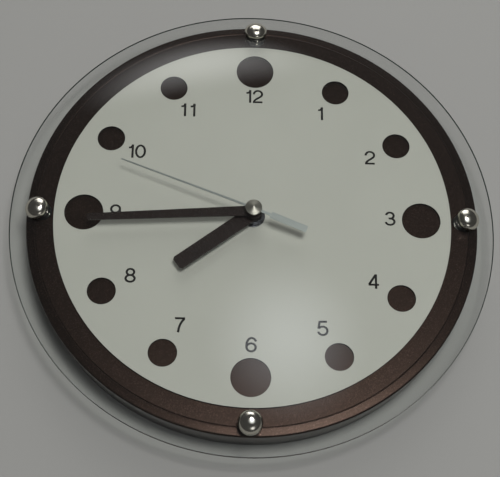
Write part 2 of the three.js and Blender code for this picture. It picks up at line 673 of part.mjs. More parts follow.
// Movement housing: one moulding with the threaded bushing, the train room and the battery bay
function movementHousing() {
  const half = MOVEMENT_SIZE / 2;
  const outline = roundedBox(-half, half, -half, half, MOVEMENT_CORNER);
  const body = extruded(outline, HOUSING_REAR, HOUSING_FRONT, CORNER_FACETS);
  const bushing = disc(BUSHING_RADIUS, HOUSING_FRONT - JOIN_DEPTH, BUSHING_TOP, HOLE_ROUND);
  const rear = HOUSING_REAR - CUT_MARGIN;
  const train = block(-BAY_INSIDE_X, BAY_INSIDE_X, TRAIN_LOW_Y, BAY_INSIDE_X, rear, HOUSING_INSIDE);
  const bay = block(-BAY_INSIDE_X, BAY_INSIDE_X, BAY_LOW_Y, BAY_HIGH_Y, rear, HOUSING_INSIDE);
  const bore = drill(BUSHING_BORE, HOUSING_REAR, BUSHING_TOP + CUT_MARGIN, HOLE_ROUND);
  const post = disc(POST_RADIUS, MOTION_LAYER[0], HOUSING_INSIDE + JOIN_DEPTH, PIN_ROUND)
    .translate(MINUTE_WHEEL_AXIS.x, MINUTE_WHEEL_AXIS.y, 0);
  return join(cut(join(body, bushing), train, bay, bore), post);
}

function coverPost(axis, top, radius = POST_RADIUS) {
  return disc(radius, COVER_FRONT - JOIN_DEPTH, top, PIN_ROUND).translate(axis.x, axis.y, 0);
}

const boardLow = {
  x: BAY_INSIDE_X - BOARD_WIDTH - RUNNING_GAP,
  y: BAY_INSIDE_X - BOARD_LENGTH - RUNNING_GAP,
};
const boardMiddleX = boardLow.x + BOARD_WIDTH / 2;
const statorPole = MAGNET_RADIUS + LAYER_GAP;
const stator = {
  left: -BAY_INSIDE_X + RUNNING_GAP,
  right: ROTOR_AXIS.x + statorPole + HUB_RADIUS / 2,
  poleLeft: ROTOR_AXIS.x - statorPole - HUB_RADIUS,
  low: ROTOR_AXIS.y - statorPole - HUB_RADIUS,
  high: ROTOR_AXIS.y + statorPole + HUB_RADIUS,
};
const coilX = stator.left + COIL_RADIUS;
const coilLow = stator.low + STATOR_ARM + LAYER_GAP;
const coilHigh = coilLow + COIL_LENGTH;
const statorTop = coilHigh + LAYER_GAP + STATOR_ARM;
const armInner = Math.max(stator.poleLeft, coilX + COIL_RADIUS + LAYER_GAP);
const statorStuds = [
  new THREE.Vector2(coilX, stator.low + STATOR_ARM / 2),
  new THREE.Vector2(coilX, statorTop - STATOR_ARM / 2),
];
const boardStuds = [boardLow.y + BOARD_STUD_INSET, boardLow.y + BOARD_LENGTH - BOARD_STUD_INSET]
  .map((y) => new THREE.Vector2(boardMiddleX, y));

function movementCover() {
  const half = MOVEMENT_SIZE / 2;
  const outline = roundedBox(-half, half, BAY_HIGH_Y, half, MOVEMENT_CORNER);
  const plate = extruded(outline, COVER_REAR, COVER_FRONT, CORNER_FACETS);
  const bearingTop = MAGNET_LAYER[1] - FACE_GAP;
  const bearing = coverPost(CENTER, bearingTop, ARBOR_RADIUS + RUNNING_GAP + TUBE_WALL);
  const bearingBore = drill(ARBOR_RADIUS + RUNNING_GAP, COVER_FRONT, bearingTop + CUT_MARGIN, PIN_ROUND);
  const settingBore = SETTING_ARBOR_RADIUS + RUNNING_GAP;
  const settingHole = drill(settingBore, COVER_REAR - CUT_MARGIN, COVER_FRONT + CUT_MARGIN)
    .translate(SETTING_AXIS.x, SETTING_AXIS.y, 0);
  const body = join(
    plate,
    bearing,
    coverPost(THIRD_AXIS, HOUSING_INSIDE - TURNED_GAP),
    coverPost(FIFTH_AXIS, SECOND_LAYER[1] + TURNED_GAP),
    coverPost(ROTOR_AXIS, FIFTH_LAYER[1] + LAYER_GAP),
    ...statorStuds.map((axis) => coverPost(axis, STATOR_LAYER[0] - FACE_GAP, STUD_SUPPORT_RADIUS)),
    ...boardStuds.map((axis) => coverPost(axis, STATOR_LAYER[0] - FACE_GAP, STUD_SUPPORT_RADIUS)),
  );
  return cut(body, bearingBore, settingHole);
}

// Wheels on their own axes, drawn round the origin of a group that stands on the axis
function wheelWithPinion(wheel, wheelPhase, wheelLayer, pinion, pinionPhase, pinionTop, hubRear) {
  return cut(
    join(
      toothed(wheel, wheelPhase, wheelLayer),
      toothed(pinion, pinionPhase, [wheelLayer[1] - JOIN_DEPTH, pinionTop]),
      disc(HUB_RADIUS, hubRear, wheelLayer[0] + JOIN_DEPTH, PIN_ROUND),
    ),
    drill(WHEEL_BORE, hubRear - CUT_MARGIN, pinionTop + CUT_MARGIN, PIN_ROUND),
  );
}

function makeTrain() {
  const pinion = (wheel) => ({ teeth: PINION_TEETH, module: wheel.module });
  const fifthPinionPhase = meshPhase(SECOND_WHEEL.teeth, 0, PINION_TEETH, CENTER, FIFTH_AXIS);
  const rotorPinionPhase = meshPhase(FIFTH_WHEEL.teeth, 0, PINION_TEETH, FIFTH_AXIS, ROTOR_AXIS);
  const thirdPhase = meshPhase(PINION_TEETH, 0, THIRD_WHEEL.teeth, CENTER, THIRD_AXIS);
  const centerPhase = meshPhase(PINION_TEETH, 0, CENTER_WHEEL.teeth, THIRD_AXIS, CENTER);

  const secondWheel = join(
    disc(ARBOR_RADIUS, HUB_REAR, ARBOR_TOP, PIN_ROUND),
    toothed(SECOND_WHEEL, 0, SECOND_LAYER),
    toothed(pinion(THIRD_WHEEL), 0, [SECOND_LAYER[1] - JOIN_DEPTH, THIRD_LAYER[1]]),
  );
  piece(clock, "second_wheel", secondWheel, GEAR_WHITE, 0.5);

  const fifthWheel = wheelWithPinion(
    FIFTH_WHEEL, 0, FIFTH_LAYER, pinion(SECOND_WHEEL), fifthPinionPhase, SECOND_LAYER[1], HUB_REAR,
  );
  piece(groupAt(FIFTH_AXIS), "fifth_wheel", fifthWheel, GEAR_WHITE, 0.5);

  const thirdWheel = wheelWithPinion(
    THIRD_WHEEL, thirdPhase, THIRD_LAYER, pinion(CENTER_WHEEL), 0, CENTER_LAYER[1], HUB_REAR,
  );
  piece(groupAt(THIRD_AXIS), "third_wheel", thirdWheel, GEAR_WHITE, 0.5);

  const rotor = cut(
    join(
      disc(MAGNET_RADIUS, ...MAGNET_LAYER),
      toothed(pinion(FIFTH_WHEEL), rotorPinionPhase, [MAGNET_LAYER[1] - JOIN_DEPTH, FIFTH_LAYER[1]]),
    ),
    drill(WHEEL_BORE, MAGNET_LAYER[0] - CUT_MARGIN, FIFTH_LAYER[1] + CUT_MARGIN, PIN_ROUND),
  );
  piece(groupAt(ROTOR_AXIS), "rotor", rotor, 0x3c3c40, 0.4, 0.6);

  const centerWheel = toothed(CENTER_WHEEL, centerPhase, CENTER_LAYER, CANNON_RADIUS + FACE_GAP);
  piece(clock, "center_wheel", centerWheel, BRASS, 0.35, 1);
}

function makeMotionWork() {
  const cannonGear = { teeth: CANNON_TEETH, module: MINUTE_WHEEL.module };
  const minutePinion = { teeth: MINUTE_PINION_TEETH, module: HOUR_WHEEL.module };
  const settingGear = { teeth: SETTING_TEETH, module: MINUTE_WHEEL.module };
  const minutePhase = meshPhase(CANNON_TEETH, 0, MINUTE_WHEEL.teeth, CENTER, MINUTE_WHEEL_AXIS);
  const hourPhase = meshPhase(MINUTE_PINION_TEETH, 0, HOUR_WHEEL.teeth, MINUTE_WHEEL_AXIS, CENTER);
  const settingPhase = meshPhase(
    MINUTE_WHEEL.teeth, minutePhase, SETTING_TEETH, MINUTE_WHEEL_AXIS, SETTING_AXIS,
  );

  const cannonRear = CENTER_LAYER[0];
  const cannonTop = MINUTE_HAND_REAR + HAND_THICKNESS + FACE_GAP;
  const cannon = cut(
    join(disc(CANNON_RADIUS, cannonRear, cannonTop), toothed(cannonGear, 0, MOTION_LAYER)),
    drill(CANNON_BORE, cannonRear - CUT_MARGIN, cannonTop + CUT_MARGIN),
  );
  piece(clock, "cannon_pinion", cannon, BRASS, 0.35, 1);

  const minuteWheel = cut(
    join(
      toothed(MINUTE_WHEEL, minutePhase, MOTION_LAYER),
      toothed(minutePinion, 0, [MOTION_LAYER[1] - JOIN_DEPTH, HOUR_LAYER[1]]),
    ),
    drill(WHEEL_BORE, MOTION_LAYER[0] - CUT_MARGIN, HOUR_LAYER[1] + CUT_MARGIN, PIN_ROUND),
  );
  piece(groupAt(MINUTE_WHEEL_AXIS), "minute_wheel", minuteWheel, GEAR_WHITE, 0.5);

  const hourTop = HOUR_HAND_REAR + HAND_THICKNESS + FACE_GAP;
  const hourWheel = cut(
    join(toothed(HOUR_WHEEL, hourPhase, HOUR_LAYER), disc(HOUR_TUBE_RADIUS, HOUR_LAYER[0], hourTop)),
    drill(HOUR_BORE, HOUR_LAYER[0] - CUT_MARGIN, hourTop + CUT_MARGIN),
  );
  piece(clock, "hour_wheel", hourWheel, GEAR_WHITE, 0.5);

  const setting = groupAt(SETTING_AXIS);
  const knobRear = COVER_REAR - LAYER_GAP - KNOB_HEIGHT;
  const socketEnd = knobRear + KNOB_HEIGHT / 2;
  const arbor = join(
    disc(SETTING_ARBOR_RADIUS, socketEnd, MOTION_LAYER[0] + JOIN_DEPTH),
    toothed(settingGear, settingPhase, MOTION_LAYER),
    disc(HUB_RADIUS, MOTION_LAYER[1] - JOIN_DEPTH, HOUSING_INSIDE - TURNED_GAP, PIN_ROUND),
  );
  piece(setting, "setting_arbor", arbor, GEAR_WHITE, 0.5);

  const ribbed = [];
  for (let k = 0; k < 2 * KNOB_RIBS; k += 1) {
    const radius = k % 2 === 0 ? KNOB_RADIUS : KNOB_RADIUS - LAYER_GAP;
    const angle = Math.PI * k / KNOB_RIBS;
    ribbed.push([radius * Math.cos(angle), radius * Math.sin(angle)]);
  }
  const knob = cut(
    extruded(polygon(ribbed), knobRear, knobRear + KNOB_HEIGHT),
    drill(SETTING_ARBOR_RADIUS + FACE_GAP, socketEnd - FACE_GAP, knobRear + KNOB_HEIGHT + CUT_MARGIN),
  );
  piece(setting, "setting_knob", knob, HOUSING_BLACK, 0.55);
}

function makeMotor() {
  const outline = polygon([
    [stator.left, stator.low],
    [stator.right, stator.low],
    [stator.right, stator.high],
    [armInner + STATOR_ARM, stator.high],
    [armInner + STATOR_ARM, statorTop],
    [stator.left, statorTop],
    [stator.left, statorTop - STATOR_ARM],
    [armInner, statorTop - STATOR_ARM],
    [armInner, stator.low + STATOR_ARM],
    [stator.left, stator.low + STATOR_ARM],
  ]);
  outline.holes.push(roundHole(ROTOR_AXIS.x, ROTOR_AXIS.y, MAGNET_RADIUS + TURNED_GAP));
  piece(clock, "stator", extruded(outline, ...STATOR_LAYER), 0x8c8e92, 0.4, 1);

  const coreRear = STATOR_LAYER[1] + FACE_GAP;
  const coilZ = coreRear + CORE_THICKNESS / 2;
  const flange = COIL_RADIUS;
  const winding = COIL_RADIUS - COIL_FLANGE;
  const bobbin = turned([
    [0, coilHigh],
    [flange, coilHigh],
    [flange, coilHigh - COIL_FLANGE],
    [winding, coilHigh - COIL_FLANGE],
    [winding, coilLow + COIL_FLANGE],
    [flange, coilLow + COIL_FLANGE],
    [flange, coilLow],
    [0, coilLow],
  ], SMALL_ROUND).rotateX(-Math.PI / 2).translate(coilX, 0, coilZ);
  const core = block(
    coilX - STATOR_ARM / 2, coilX + STATOR_ARM / 2, stator.low, statorTop,
    coreRear, coreRear + CORE_THICKNESS,
  );
  piece(clock, "coil", join(bobbin, core), 0x9a4a24, 0.4, 0.5);
}

function makeCircuit() {
  const rear = STATOR_LAYER[0];
  const front = rear + BOARD_THICKNESS;
  const board = block(
    boardLow.x, boardLow.x + BOARD_WIDTH, boardLow.y, boardLow.y + BOARD_LENGTH, rear, front,
  );
  piece(clock, "circuit_board", board, 0x2e5a34, 0.5);
  const chipRear = front + FACE_GAP;
  const chipHalf = CHIP_SIZE / 2;
  const chipY = boardLow.y + BOARD_LENGTH / 3;
  const chip = block(
    boardMiddleX - chipHalf, boardMiddleX + chipHalf, chipY - chipHalf, chipY + chipHalf,
    chipRear, chipRear + CHIP_HEIGHT,
  );
  piece(clock, "chip", chip, 0x1c1c1e, 0.5);
  const crystalY = boardLow.y + 2 * BOARD_LENGTH / 3;
  const crystalHalf = CRYSTAL_LENGTH / 2;
  const crystal = disc(CRYSTAL_RADIUS, crystalY - crystalHalf, crystalY + crystalHalf, PIN_ROUND)
    .rotateX(-Math.PI / 2)
    .translate(boardMiddleX, 0, front + FACE_GAP + CRYSTAL_RADIUS);
  piece(clock, "quartz_crystal", crystal, STEEL, 0.3, 1);
}

function makeBattery() {
  const cell = turned([
    [0, NUB_END_X],
    [BATTERY_NUB_RADIUS, NUB_END_X],
    [BATTERY_NUB_RADIUS, BATTERY_PLUS_X],
    [BATTERY_RADIUS, BATTERY_PLUS_X],
    [BATTERY_RADIUS, BATTERY_MINUS_X],
    [0, BATTERY_MINUS_X],
  ], HOLE_ROUND).rotateY(Math.PI / 2).translate(0, BATTERY_Y, BATTERY_Z);
  piece(clock, "battery", cell, 0x30343a, 0.35, 0.3);

  const low = BATTERY_Y - BATTERY_RADIUS + BAY_CLEARANCE;
  const high = BATTERY_Y + BATTERY_RADIUS - BAY_CLEARANCE;
  const zLow = BATTERY_Z - CONTACT_HEIGHT / 2;
  const zHigh = BATTERY_Z + CONTACT_HEIGHT / 2;
  const plusX = BAY_INSIDE_X - FACE_GAP;
  const plus = block(plusX - CONTACT_THICKNESS, plusX, low, high, zLow, zHigh);
  piece(clock, "contact_positive", plus, STEEL, 0.3, 1);

  const back = -BAY_INSIDE_X + FACE_GAP;
  const face = back + CONTACT_THICKNESS;
  const crest = Math.min(BATTERY_MINUS_X - FACE_GAP, face + CONTACT_BOW);
  const bend = CONTACT_BOW;
  const leaf = polygon([
    [back, low],
    [face, low],
    [face, BATTERY_Y - 2 * bend],
    [crest, BATTERY_Y - bend / 2],
    [crest, BATTERY_Y + bend / 2],
    [face, BATTERY_Y + 2 * bend],
    [face, high],
    [back, high],
    [back, BATTERY_Y + 2 * bend - CONTACT_THICKNESS],
    [crest - CONTACT_THICKNESS, BATTERY_Y + bend / 2 - CONTACT_THICKNESS],
    [crest - CONTACT_THICKNESS, BATTERY_Y - bend / 2 + CONTACT_THICKNESS],
    [back, BATTERY_Y - 2 * bend + CONTACT_THICKNESS],
  ]);
  piece(clock, "contact_negative", extruded(leaf, zLow, zHigh), STEEL, 0.3, 1);
}

function makeClamp() {
  const gasketFront = PANEL_REAR - FACE_GAP;
  const gasket = ring(BUSHING_HOLE, GASKET_RADIUS, gasketFront - GASKET_THICKNESS, gasketFront, HOLE_ROUND);
  piece(clock, "movement_gasket", gasket, BLACK_RUBBER, 0.8);
  const washerRear = DIAL_FRONT + FACE_GAP;
  const washerFront = washerRear + WASHER_THICKNESS;
  const washer = ring(BUSHING_HOLE, WASHER_RADIUS, washerRear, washerFront, HOLE_ROUND);
  piece(clock, "hand_washer", washer, CHROME, 0.15, 1);
  const nutRear = washerFront + FACE_GAP;
  const nut = hexNut(NUT_FLATS, BUSHING_RADIUS + RUNNING_GAP, nutRear, nutRear + NUT_HEIGHT);
  piece(clock, "hand_nut", nut, CHROME, 0.2, 1);
}

// Hanger: a pressed plate whose middle stands back toward the wall, clear of the screw heads
function makeHanger() {
  const half = HANGER_WIDTH / 2;
  const raised = HANGER_RAISED_WIDTH / 2;
  const rear = HANGER_FROM_WALL;
  const earRear = rear + HANGER_RAISE;
  const section = polygon([
    [-half, earRear],
    [-raised - HANGER_RAISE, earRear],
    [-raised, rear],
    [raised, rear],
    [raised + HANGER_RAISE, earRear],
    [half, earRear],
    [half, earRear + HANGER_THICKNESS],
    [raised + HANGER_RAISE - HANGER_THICKNESS / 2, earRear + HANGER_THICKNESS],
    [raised - HANGER_THICKNESS / 2, rear + HANGER_THICKNESS],
    [-raised + HANGER_THICKNESS / 2, rear + HANGER_THICKNESS],
    [-raised - HANGER_RAISE + HANGER_THICKNESS / 2, earRear + HANGER_THICKNESS],
    [-half, earRear + HANGER_THICKNESS],
  ]);
  const strip = extruded(section, -HANGER_HEIGHT / 2, HANGER_HEIGHT / 2)
    .rotateX(Math.PI / 2)
    .translate(0, HANGER_Y, 0);
  const cutRear = rear - CUT_MARGIN;
  const cutFront = earRear + HANGER_THICKNESS + CUT_MARGIN;
  const holeY = HANGER_Y - KEYHOLE_LENGTH / 2;
  const slotHalf = KEYHOLE_SLOT_WIDTH / 2;
  const keyhole = disc(KEYHOLE_RADIUS, cutRear, cutFront).translate(0, holeY, 0);
  const slot = block(-slotHalf, slotHalf, holeY, holeY + KEYHOLE_LENGTH, cutRear, cutFront);
  const slotEnd = disc(slotHalf, cutRear, cutFront).translate(0, holeY + KEYHOLE_LENGTH, 0);
  const screwHoles = hangerSides.map(([, side]) => (
    drill(HANGER_SCREW_RADIUS + TURNED_GAP, cutRear, cutFront, PIN_ROUND)
      .translate(side * hangerScrewX, HANGER_Y, 0)
  ));
  const plate = cut(strip, join(keyhole, slot, slotEnd), ...screwHoles);
  piece(clock, "hanger_plate", plate, STEEL, 0.35, 1);

  const headFront = earRear - FACE_GAP;
  for (const [name, side] of hangerSides) {
    const screw = turned([
      [0, hangerBossEnd + HANGER_SCREW_LENGTH - FACE_GAP],
      [HANGER_SCREW_RADIUS, hangerBossEnd + HANGER_SCREW_LENGTH - FACE_GAP],
      [HANGER_SCREW_RADIUS, headFront],
      [HANGER_HEAD_RADIUS, headFront],
      [HANGER_HEAD_RADIUS, headFront - HANGER_HEAD_HEIGHT],
      [0, headFront - HANGER_HEAD_HEIGHT],
    ], SMALL_ROUND);
    const mesh = piece(clock, `hanger_screw_${name}`, screw, STEEL, 0.3, 1);
    mesh.position.set(side * hangerScrewX, HANGER_Y, 0);
  }
}

piece(clock, "case", makeCase(), BROWN_PAINT, 0.45, 0.4);
piece(clock, "dial_plate", makeDial(), DIAL_WHITE, 0.5);
piece(clock, "glass_lens", makeGlass(), 0xeef4f0, 0.02, 0, { transparent: true, opacity: 0.2 });
makeScrews();
makeHands();
makeClamp();
piece(clock, "movement_case", movementHousing(), HOUSING_BLACK, 0.6);
piece(clock, "movement_cover", movementCover(), HOUSING_BLACK, 0.6);
makeTrain();
makeMotionWork();
makeMotor();
makeCircuit();
makeBattery();
makeHanger();

export default clock;
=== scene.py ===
"""Round quartz wall clock with a domed glass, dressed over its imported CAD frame.

Metres, in the frame of the CAD: the origin is the middle of the rear rim, +Z comes out of the dial,
+Y goes to 12 o'clock and +X to 3 o'clock. Run it in Blender, or register it and press the buttons of the
Clock tab from top to bottom.
"""
import math

import bpy
from bpy.props import FloatProperty, FloatVectorProperty, IntProperty, PointerProperty
from mathutils import Matrix, Vector


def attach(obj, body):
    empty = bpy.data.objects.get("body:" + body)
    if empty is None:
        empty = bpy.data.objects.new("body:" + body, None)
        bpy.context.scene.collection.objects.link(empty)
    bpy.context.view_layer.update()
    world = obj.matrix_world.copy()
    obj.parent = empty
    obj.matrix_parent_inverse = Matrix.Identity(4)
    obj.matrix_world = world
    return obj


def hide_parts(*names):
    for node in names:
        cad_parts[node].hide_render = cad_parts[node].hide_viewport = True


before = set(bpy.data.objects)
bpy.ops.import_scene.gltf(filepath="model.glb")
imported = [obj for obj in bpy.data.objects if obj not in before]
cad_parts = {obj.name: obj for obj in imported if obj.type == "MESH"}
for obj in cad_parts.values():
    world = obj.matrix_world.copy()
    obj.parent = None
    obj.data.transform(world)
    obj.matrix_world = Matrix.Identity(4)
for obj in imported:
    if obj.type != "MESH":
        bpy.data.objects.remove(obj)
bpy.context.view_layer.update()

bl_info = {
    "name": "Domed wall clock",
    "version": (1, 0, 0),
    "blender": (4, 5, 0),
    "location": "3D View > Sidebar > Clock",
    "description": "Builds a quartz wall clock with a domed glass piece by piece",
    "category": "Add Mesh",
}

MM = 0.001
HOURS = 12
# Every third hour has a large dot
LARGE_DOT_EVERY = 3
# Points that lie nearer than this are one point
MERGE_DISTANCE = 1e-6
# How far a cutter or a joined piece reaches past a face
CUT_MARGIN = 0.001
# A face of the dial whose normal rises less than this is a cut edge
CUT_EDGE_NORMAL = 0.6
# A face at the rim of the glass whose normal falls below this is ground
GROUND_NORMAL = -0.3
GLASS_IOR = 1.52
# Rounding of the battery contacts' edges
CONTACT_EDGE = 0.0001
# Edges that bend more than this are sharp; those of the low cap already at half of it
FLAT_ANGLE = math.radians(30)
CAP_ANGLE = math.radians(15)
# How much of a nut's corner is turned off, and how steeply
NUT_CHAMFER_SHARE = 0.9
NUT_CHAMFER_ANGLE = math.radians(30)
# Strength of a feathered lamp in its middle
FEATHER_PEAK = 2.5
# In millimetres, as Blender's camera has it
SENSOR_WIDTH = 36
# The glass screws by the hour at which they stand, with their turn from 3 o'clock in degrees
SCREWS = (("3", 0), ("12", 90), ("9", 180), ("6", 270))

# Middle lines of the digits' strokes in millimetres, for digits 10 mm high and 6.5 mm wide about x = 0.
# Two numbers are a point; six are an arc: middle x and y, half width, half height, start and end in degrees.
DIGITS = {
    "0": (((0, 5, 2.7, 4.45, 0, 360),),),
    "1": (((0.95, 0), (0.95, 10)), ((-1.5, 7.65), (-0.3, 7.75), (0.45, 8.3), (0.8, 9.2), (0.9, 9.9))),
    "2": (
        ((0.05, 6.85, 2.6, 2.6, 185, -30), (1.5, 4.7), (-0.6, 3.2), (-2.0, 1.9), (-2.55, 0.55)),
        ((-3.1, 0.55), (2.9, 0.55)),
    ),
    "3": (
        ((0, 7.2, 2.3, 2.25, 170, -85),),
        ((0, 2.85, 2.65, 2.3, 85, -172),),
        ((-0.8, 5.15), (0.35, 5.15)),
    ),
    "4": (((1.35, 0), (1.35, 10)), ((1.15, 9.6), (-2.75, 2.85)), ((-3.1, 2.75), (3.1, 2.75))),
    "5": (((2.5, 9.45), (-1.9, 9.45)), ((-1.75, 9.7), (-2.45, 4.7)), ((0, 3.35, 2.7, 2.8, 148, -168),)),
    "6": (((0.05, 3.2, 2.65, 2.65, 0, 360),), ((0.35, 4.6, 3.0, 4.85, 190, 32),)),
    "7": (((-3.0, 9.45), (2.9, 9.45)), ((2.55, 9.2), (1.1, 7.3), (0.1, 5.2), (-0.6, 2.6), (-0.9, 0))),
    "8": (((0, 7.31, 2.2, 2.14, 0, 360),), ((0, 2.85, 2.65, 2.3, 0, 360),)),
    "9": (((-0.05, 6.8, 2.65, 2.65, 0, 360),), ((-0.35, 5.4, 3.0, 4.85, 10, -148),)),
}
# From one digit to the next in millimetres, and the longest step along an arc in degrees
DIGIT_ADVANCE = 5.8
ARC_STEP = 9


def length(name, description, millimetres):
    """A size property, written in millimetres and kept in metres."""
    return FloatProperty(
        name=name,
        description=description,
        default=millimetres * MM,
        min=0,
        precision=5,
        unit="LENGTH",
    )


def angle(name, description, degrees):
    """An angle property, written in degrees and kept in radians."""
    return FloatProperty(
        name=name,
        description=description,
        default=math.radians(degrees),
        unit="ROTATION",
        subtype="ANGLE",
    )


def count(name, description, number):
    """A whole number property."""
    return IntProperty(name=name, description=description, default=number, min=1)


def factor(name, description, number):
    """A plain factor property."""
    return FloatProperty(name=name, description=description, default=number, min=0)


def power(name, description, watts):
    """The power property of a lamp."""
    return FloatProperty(name=name, description=description, default=watts, min=0, unit="POWER")


def point(name, description, metres):
    """A property for a place in the clock's frame."""
    return FloatVectorProperty(
        name=name,
        description=description,
        default=metres,
        subtype="TRANSLATION",
        unit="LENGTH",
    )


def linear(code):
    """Linear red, green, blue and alpha of an sRGB hex code."""
    channels = [int(code[k:k + 2], 16) / 255 for k in (1, 3, 5)]
    curve = [c / 12.92 if c <= 0.04045 else ((c + 0.055) / 1.055) ** 2.4 for c in channels]
    return (*curve, 1.0)


def colour(name, description, code):
    """A colour property, written as an sRGB hex code and kept linear."""
    return FloatVectorProperty(
        name=name,
        description=description,
        default=linear(code),
        size=4,
        min=0,
        max=1,
        subtype="COLOR",
    )


class ClockColours(bpy.types.PropertyGroup):
    """Colours of the real materials; the glass edge, the paint flakes and the chrome also carry painted
    shade, glint or reflection.
    """

    paint: colour("Case paint", "Brown metallic lacquer of the case", "#32251F")
    # Flake colour: partly the flakes' own lighter tone, partly painted glint of flakes that face the light
    flake: colour("Paint flakes", "Flakes in the lacquer that face the light", "#4E3D36")
    dial: colour("Dial coat", "Satin silver-white coat of the dial plate", "#B8B7AD")
    ink: colour("Ink", "Dark brown ink of the numerals", "#0C0706")
    hand: colour("Hand lacquer", "Dark brown lacquer of the hour and minute hands", "#1C100C")
    glass: colour("Glass", "Clear soda-lime glass", "#FDFEFD")
    glass_depth: colour("Glass depth", "What a long way through the glass lets pass", "#7FC7A6")
    # Edge colour: the glass's own green, painted dark as the shade line that the thick glass shows at its rim
    glass_edge: colour("Glass edge", "Ground edge, where the green of the glass gathers", "#2B3F35")
    # Chrome colour darkened below that of real chrome: painted dark reflection of the dark surroundings
    chrome: colour("Chrome", "Dark chrome plate of the washer and nut", "#9A9BA0")
    nickel: colour("Nickel", "Polished nickel of the domed screws", "#D2CEC2")
    steel: colour("Steel", "Bright rolled steel", "#A2A7A4")
    aluminium: colour("Aluminium", "Turned aluminium", "#B9B5AB")
    zinc: colour("Zinc plate", "Zinc-plated steel", "#B9BCBE")
    brass: colour("Brass", "Machined brass", "#C9A660")
    copper: colour("Copper", "Enamelled copper wire", "#B5693C")
    rubber: colour("Rubber", "Black of the rubber pieces and of the chip", "#161616")
    housing: colour("Housing plastic", "Black moulded plastic of the movement", "#1E1E1F")
    gear: colour("Gear plastic", "Pale acetal of the wheels", "#D9D4C6")
    magnet: colour("Magnet", "Dark bonded magnet of the rotor", "#37373B")
    jacket: colour("Battery jacket", "Printed film round the battery", "#2B2D30")
    jacket_band: colour("Battery band", "Band of the film at the positive end", "#B9803F")
    board: colour("Board", "Green solder mask of the circuit board", "#1F5A3A")
    iron: colour("Soft iron", "Sheet of the motor's stator", "#8F8F8C")


class CaseSizes(bpy.types.PropertyGroup):
    """Pan-shaped case with a front panel, open at the rear."""

    radius: length("Front radius", "Outside radius at the front", 147.9)
    rear_radius: length("Rear radius", "Outside radius at the rear rim", 145.5)
    depth: length("Depth", "Rear rim to the front of the panel", 26.3)
    wall: length("Wall", "Thickness of the side wall", 2.5)
    panel: length("Panel", "Thickness of the front panel", 2.5)
    hole_radius: length("Hole radius", "Hole for the bushing of the movement", 4.4)
    groove_radius: length("Groove radius", "Middle of the groove round the panel", 142)
    groove_width: length("Groove width", "Width of the groove", 0.8)
    groove_floor: length("Groove floor", "Width of the groove's flat floor", 0.2)
    groove_depth: length("Groove depth", "Depth of the groove", 0.4)
    band_step: length("Band step", "How far the outer band lies below the panel", 0.25)
    band_drop: length("Band drop", "Fall of the outer band to the edge", 0.75)
    rounding: length("Edge rounding", "Rounding between band and side", 1.2)
    edge_break: length("Edge break", "Rounding of the other edges", 0.3)
    boss_radius: length("Screw boss radius", "Bosses behind the panel at the glass screws", 4.6)
    boss_root: length("Screw boss root", "Radius of these bosses where they meet the panel", 4.968)
    boss_length: length("Screw boss length", "From the panel's front along the screw", 7)
    hanger_boss_radius: length("Hanger boss radius", "Bosses behind the panel at the hanger", 4)
    hanger_boss_root: length("Hanger boss root", "Radius of these bosses where they meet the panel", 4.48)
    hanger_boss_cover: length("Hanger boss cover", "Panel in front of these bosses", 1.5)
    hanger_boss_end: length("Hanger boss end", "Height of the bosses' end above the wall", 4.5)
    hanger_spacing: length("Hanger boss spacing", "Between the two bosses", 38)
    hanger_height: length("Hanger height", "From the middle of the clock up to the bosses", 105)
    rounding_steps: count("Rounding steps", "Steps of the rounding between band and side", 8)
    boss_steps: count("Boss facets", "Facets round a boss", 48)
    steps: count("Facets", "Facets round the case", 192)


class DialSizes(bpy.types.PropertyGroup):
    """Dial plate with round holes at the hours, and its printed numerals."""

    radius: length("Radius", "Outside radius of the plate", 130)
    rear: length("Rear height", "Height of the plate's rear", 26.4)
    thickness: length("Thickness", "Thickness of the plate", 1.6)
    hole_radius: length("Centre hole", "Hole for the bushing of the movement", 4.4)
    dot_circle: length("Dot circle", "Radius of the circle of hour holes", 110.5)
    large_dot: length("Large dots", "Radius of the holes at 12, 3, 6 and 9", 12.7)
    small_dot: length("Small dots", "Radius of the other holes", 9.2)
    edge_break: length("Edge break", "Rounding of the cut edges", 0.18)
    steps: count("Facets", "Facets round the plate", 192)
    dot_steps: count("Dot facets", "Facets round an hour hole", 72)
    numeral_circle: length("Numeral circle", "Radius of the circle of numerals", 90)
    numeral_lift: length("Numeral lift", "How far the numerals stand above their circle", 1)
    stroke: length("Stroke", "Width of the digits' strokes", 1.38)
    digit_width: factor("Digit width", "Digits made wider by this", 1.08)
    ink_thickness: length("Ink thickness", "Thickness of the printed ink", 0.05)


class GlassSizes(bpy.types.PropertyGroup):
    """Domed glass, a slice of a sphere held by four screws."""

    radius: length("Radius", "Outside radius of the glass", 160)
    thickness: length("Thickness", "Thickness of the glass", 3)
    rise: length("Rise", "Height of the dome over its edge", 40)
    above_panel: length("Above panel", "Middle of the glass over the panel at the screws", 4.85)
    screw_circle: length("Screw circle", "Radius of the circle of screws", 140.2)
    hole_radius: length("Hole radius", "Holes for the screws", 2.8)
    edge_break: length("Edge break", "Rounding of the edge", 0.35)
    chamfer: length("Chamfer", "Ground chamfer under the rim", 0.85)
    rings: count("Rings", "Steps from the middle to the edge", 34)
    hole_steps: count("Hole facets", "Facets round a screw hole", 32)
    steps: count("Facets", "Facets round the glass", 192)


